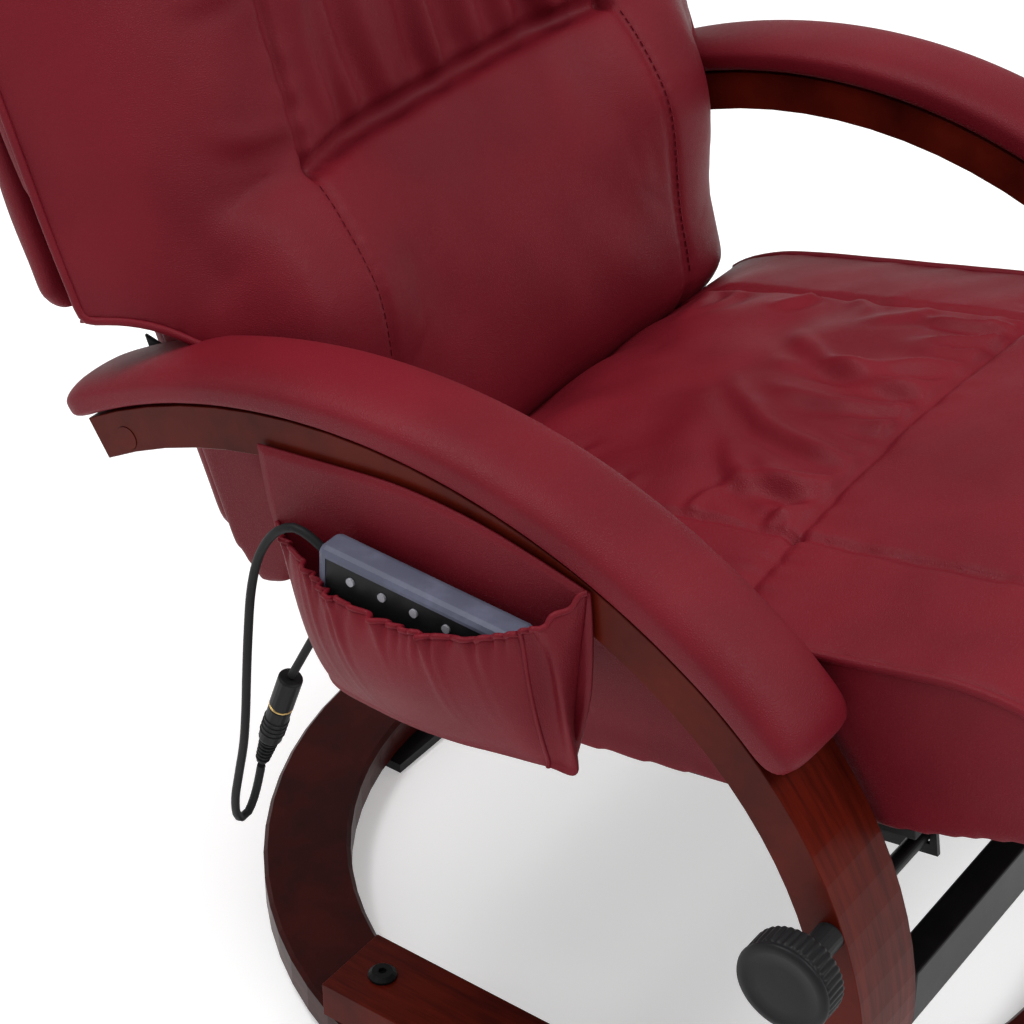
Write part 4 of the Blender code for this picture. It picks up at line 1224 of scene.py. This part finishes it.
@dataclass
class SidePocket:
    """The pouch under the armrest: a back panel and a gathered front panel."""

    finishes: Finishes
    back_x: float = -0.3086

    def build(self) -> None:
        """Build the back panel, the gathered pouch, its gusset and the elastic hem."""
        self._back_panel()
        self._pouch()
        LOG.info("side pocket")

    def _finish(self, obj: bpy.types.Object, stands: bool) -> None:
        """Dress a panel and tie it to the frame."""
        self.finishes.settle(obj, Body.FRAME, "leather")
        if stands:
            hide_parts("side_pocket")

    def _back_panel(self) -> None:
        """Build the flat panel against the arm, from under the pad down to the pouch's floor."""
        top = [(0.1310, 0.4710), (0.0850, 0.4765), (0.0300, 0.4820), (-0.0200, 0.4795), (-0.0600, 0.4725),
               (-0.0970, 0.4640)]
        low = [(0.0790, 0.3360), (0.0500, 0.3352), (0.0103, 0.3350), (-0.0250, 0.3380), (-0.0600, 0.3440),
               (-0.0900, 0.3500)]
        rows, cols = 20, 36
        grid = np.zeros((rows, cols, 3))
        top_line = smooth_line([(0.0, *p) for p in top], 0.004)[:, 1:]
        low_line = smooth_line([(0.0, *p) for p in low], 0.004)[:, 1:]
        for c in range(cols):
            t = c / (cols - 1)
            a = top_line[round(t * (len(top_line) - 1))]
            b = low_line[round(t * (len(low_line) - 1))]
            for r in range(rows):
                v = r / (rows - 1)
                bow = 0.010 * math.sin(math.pi * v) * (1 - 2 * t if t < 0.5 else 0.6 * (1 - 2 * t))
                y, z = a + (b - a) * v
                ripple = 0.0010 * math.sin(9 * t + 6 * v) * math.sin(math.pi * v)
                grid[r, c] = (self.back_x - 0.0006 - abs(ripple), y + bow, z)
        self._finish(grid_sheet("pocket_back", grid, 0.0016), True)

    def _pouch(self) -> None:
        """Build the gathered front panel, wrapped round from the rear edge to the gusset."""
        mouth = [(-0.3100, 0.1180, 0.4225), (-0.3180, 0.1090, 0.4230), (-0.3290, 0.0900, 0.4260),
                 (-0.3380, 0.0640, 0.4195), (-0.3440, 0.0340, 0.4185), (-0.3460, -0.0020, 0.4215),
                 (-0.3440, -0.0380, 0.4300), (-0.3390, -0.0640, 0.4405), (-0.3280, -0.0800, 0.4480),
                 (-0.3100, -0.0955, 0.4640)]
        floor = [(-0.3100, 0.0900, 0.3660), (-0.3160, 0.0820, 0.3450), (-0.3220, 0.0700, 0.3350),
                 (-0.3240, 0.0400, 0.3335), (-0.3240, 0.0100, 0.3335), (-0.3240, -0.0200, 0.3370),
                 (-0.3240, -0.0480, 0.3430), (-0.3230, -0.0780, 0.3480), (-0.3200, -0.0975, 0.3490),
                 (-0.3100, -0.0870, 0.3640)]
        top_line, low_line = self._even(mouth, 140), self._even(floor, 140)
        rows, cols = 30, 140
        rnd = random.Random(5)
        pleats = [(rnd.uniform(0.02, 0.92), rnd.uniform(0.25, 0.9), rnd.uniform(0.6, 1.3)) for _ in range(24)]
        grid = np.zeros((rows, cols, 3))
        for c in range(cols):
            t = c / (cols - 1)
            ends = math.sin(math.pi * min(max(t, 0.0), 1.0)) ** 0.5
            for r in range(rows):
                v = r / (rows - 1)
                at = top_line[c] * (1 - v) + low_line[c] * v
                belly = 0.012 * math.sin(math.pi * min(v * 1.05, 1)) ** 0.8 * ends
                ruffle = 0.0024 * math.sin(t * 150.0 + 3.0 * math.sin(t * 23.0)) * math.exp(-v / 0.07)
                fold = 0.0
                for spot, reach, size in pleats:
                    lean = spot + 0.09 * v
                    narrow = math.exp(-((t - lean) / 0.0105) ** 2)
                    fold += 0.0030 * size * narrow * math.exp(-v / (0.35 * reach))
                gusset = 0.011 * math.exp(-((t - 0.865) / 0.040) ** 2) * math.sin(math.pi * v) ** 0.7
                out = belly + (ruffle + fold) * ends - gusset
                grid[r, c] = (at[0] - out, at[1] + 0.3 * ruffle, at[2] + 0.5 * ruffle * (v < 0.3))
        self._finish(grid_sheet("pocket_pouch", grid, 0.0014), True)
        hem = grid[0].copy()
        hem[:, 0] -= 0.0003
        self._finish(piping("pocket_hem", [hem], 0.0017), False)
        side = np.array([grid[r, 116] for r in range(rows)])
        side[:, 0] -= 0.0008
        self._finish(piping("pocket_side_seam", [side], 0.0014), False)

    @staticmethod
    def _even(points: list[Point], count: int) -> np.ndarray:
        """Spread points evenly along a smooth line."""
        line = smooth_line(points, 0.002)
        return at_distances(line, np.linspace(0, walked(line)[-1], count))


@dataclass
class ClampKnob:
    """The knurled clamp knob."""

    finishes: Finishes
    axis: tuple[float, float] = (-0.252, 0.305)
    face_x: float = -0.357
    flutes: int = 40

    def build(self) -> None:
        """Build the knob: a plain domed face with a rolled rim over a fluted skirt."""
        # distance behind the face, radius, share of the flutes' depth
        stations = ((0.0200, 0.0255, 0.0), (0.0192, 0.0272, 0.6), (0.0175, 0.0277, 1.0),
                    (0.0070, 0.0277, 1.0), (0.0055, 0.0273, 0.3), (0.0048, 0.0266, 0.0),
                    (0.0040, 0.0272, 0.0), (0.0028, 0.0279, 0.0), (0.0014, 0.0272, 0.0),
                    (0.0006, 0.0255, 0.0), (0.0004, 0.0225, 0.0), (0.0009, 0.0215, 0.0),
                    (0.0009, 0.0140, 0.0), (0.0005, 0.0060, 0.0))
        count = self.flutes * 8
        rings = []
        for depth, radius, flute in stations:
            ring = []
            for k in range(count):
                a = math.tau * k / count
                groove = 0.0011 * flute * (0.5 + 0.5 * math.cos(a * self.flutes)) ** 1.5
                r = radius - groove
                y, z = self.axis[0] + r * math.cos(a), self.axis[1] + r * math.sin(a)
                ring.append((self.face_x + depth, y, z))
            rings.append(ring)
        knob = lofted("knob_shell", np.array(rings))
        self.finishes.settle(knob, Body.KNOB, "black_plastic")
        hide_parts("clamp_knob")
        LOG.info("clamp knob")


@dataclass
class PackedPieces:
    """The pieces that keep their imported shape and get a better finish."""

    finishes: Finishes

    def dress(self) -> None:
        """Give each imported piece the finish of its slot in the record."""
        slots = {entry["node"]: entry["material_slot"] for entry in FRAME["record"]["subparts"]}
        for node, obj in FRAME["nodes"].items():
            slot = "ring_wood" if node == "base_ring" else slots[node]
            self.finishes.dress(obj, slot)
            LOG.info("packed piece %s: %s", node, slot)


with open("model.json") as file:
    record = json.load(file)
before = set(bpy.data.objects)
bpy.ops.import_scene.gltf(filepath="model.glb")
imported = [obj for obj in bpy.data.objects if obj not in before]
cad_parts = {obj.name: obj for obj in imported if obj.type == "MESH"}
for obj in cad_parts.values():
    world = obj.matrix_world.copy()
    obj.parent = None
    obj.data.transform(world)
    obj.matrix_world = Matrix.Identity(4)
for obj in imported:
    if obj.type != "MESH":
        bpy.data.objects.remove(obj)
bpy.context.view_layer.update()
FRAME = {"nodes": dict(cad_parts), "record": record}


def main() -> None:
    """Build the chair's looks in order."""
    logging.basicConfig(level=logging.INFO)
    Studio().build()
    finishes = Finishes()
    PackedPieces(finishes).dress()
    RemoteCord(finishes).build()
    ClampKnob(finishes).build()
    Armrests(finishes).build()
    SidePocket(finishes).build()
    SeatCushion(finishes).build()
    BackCushion(finishes).build()


if __name__ == "__main__":
    main()
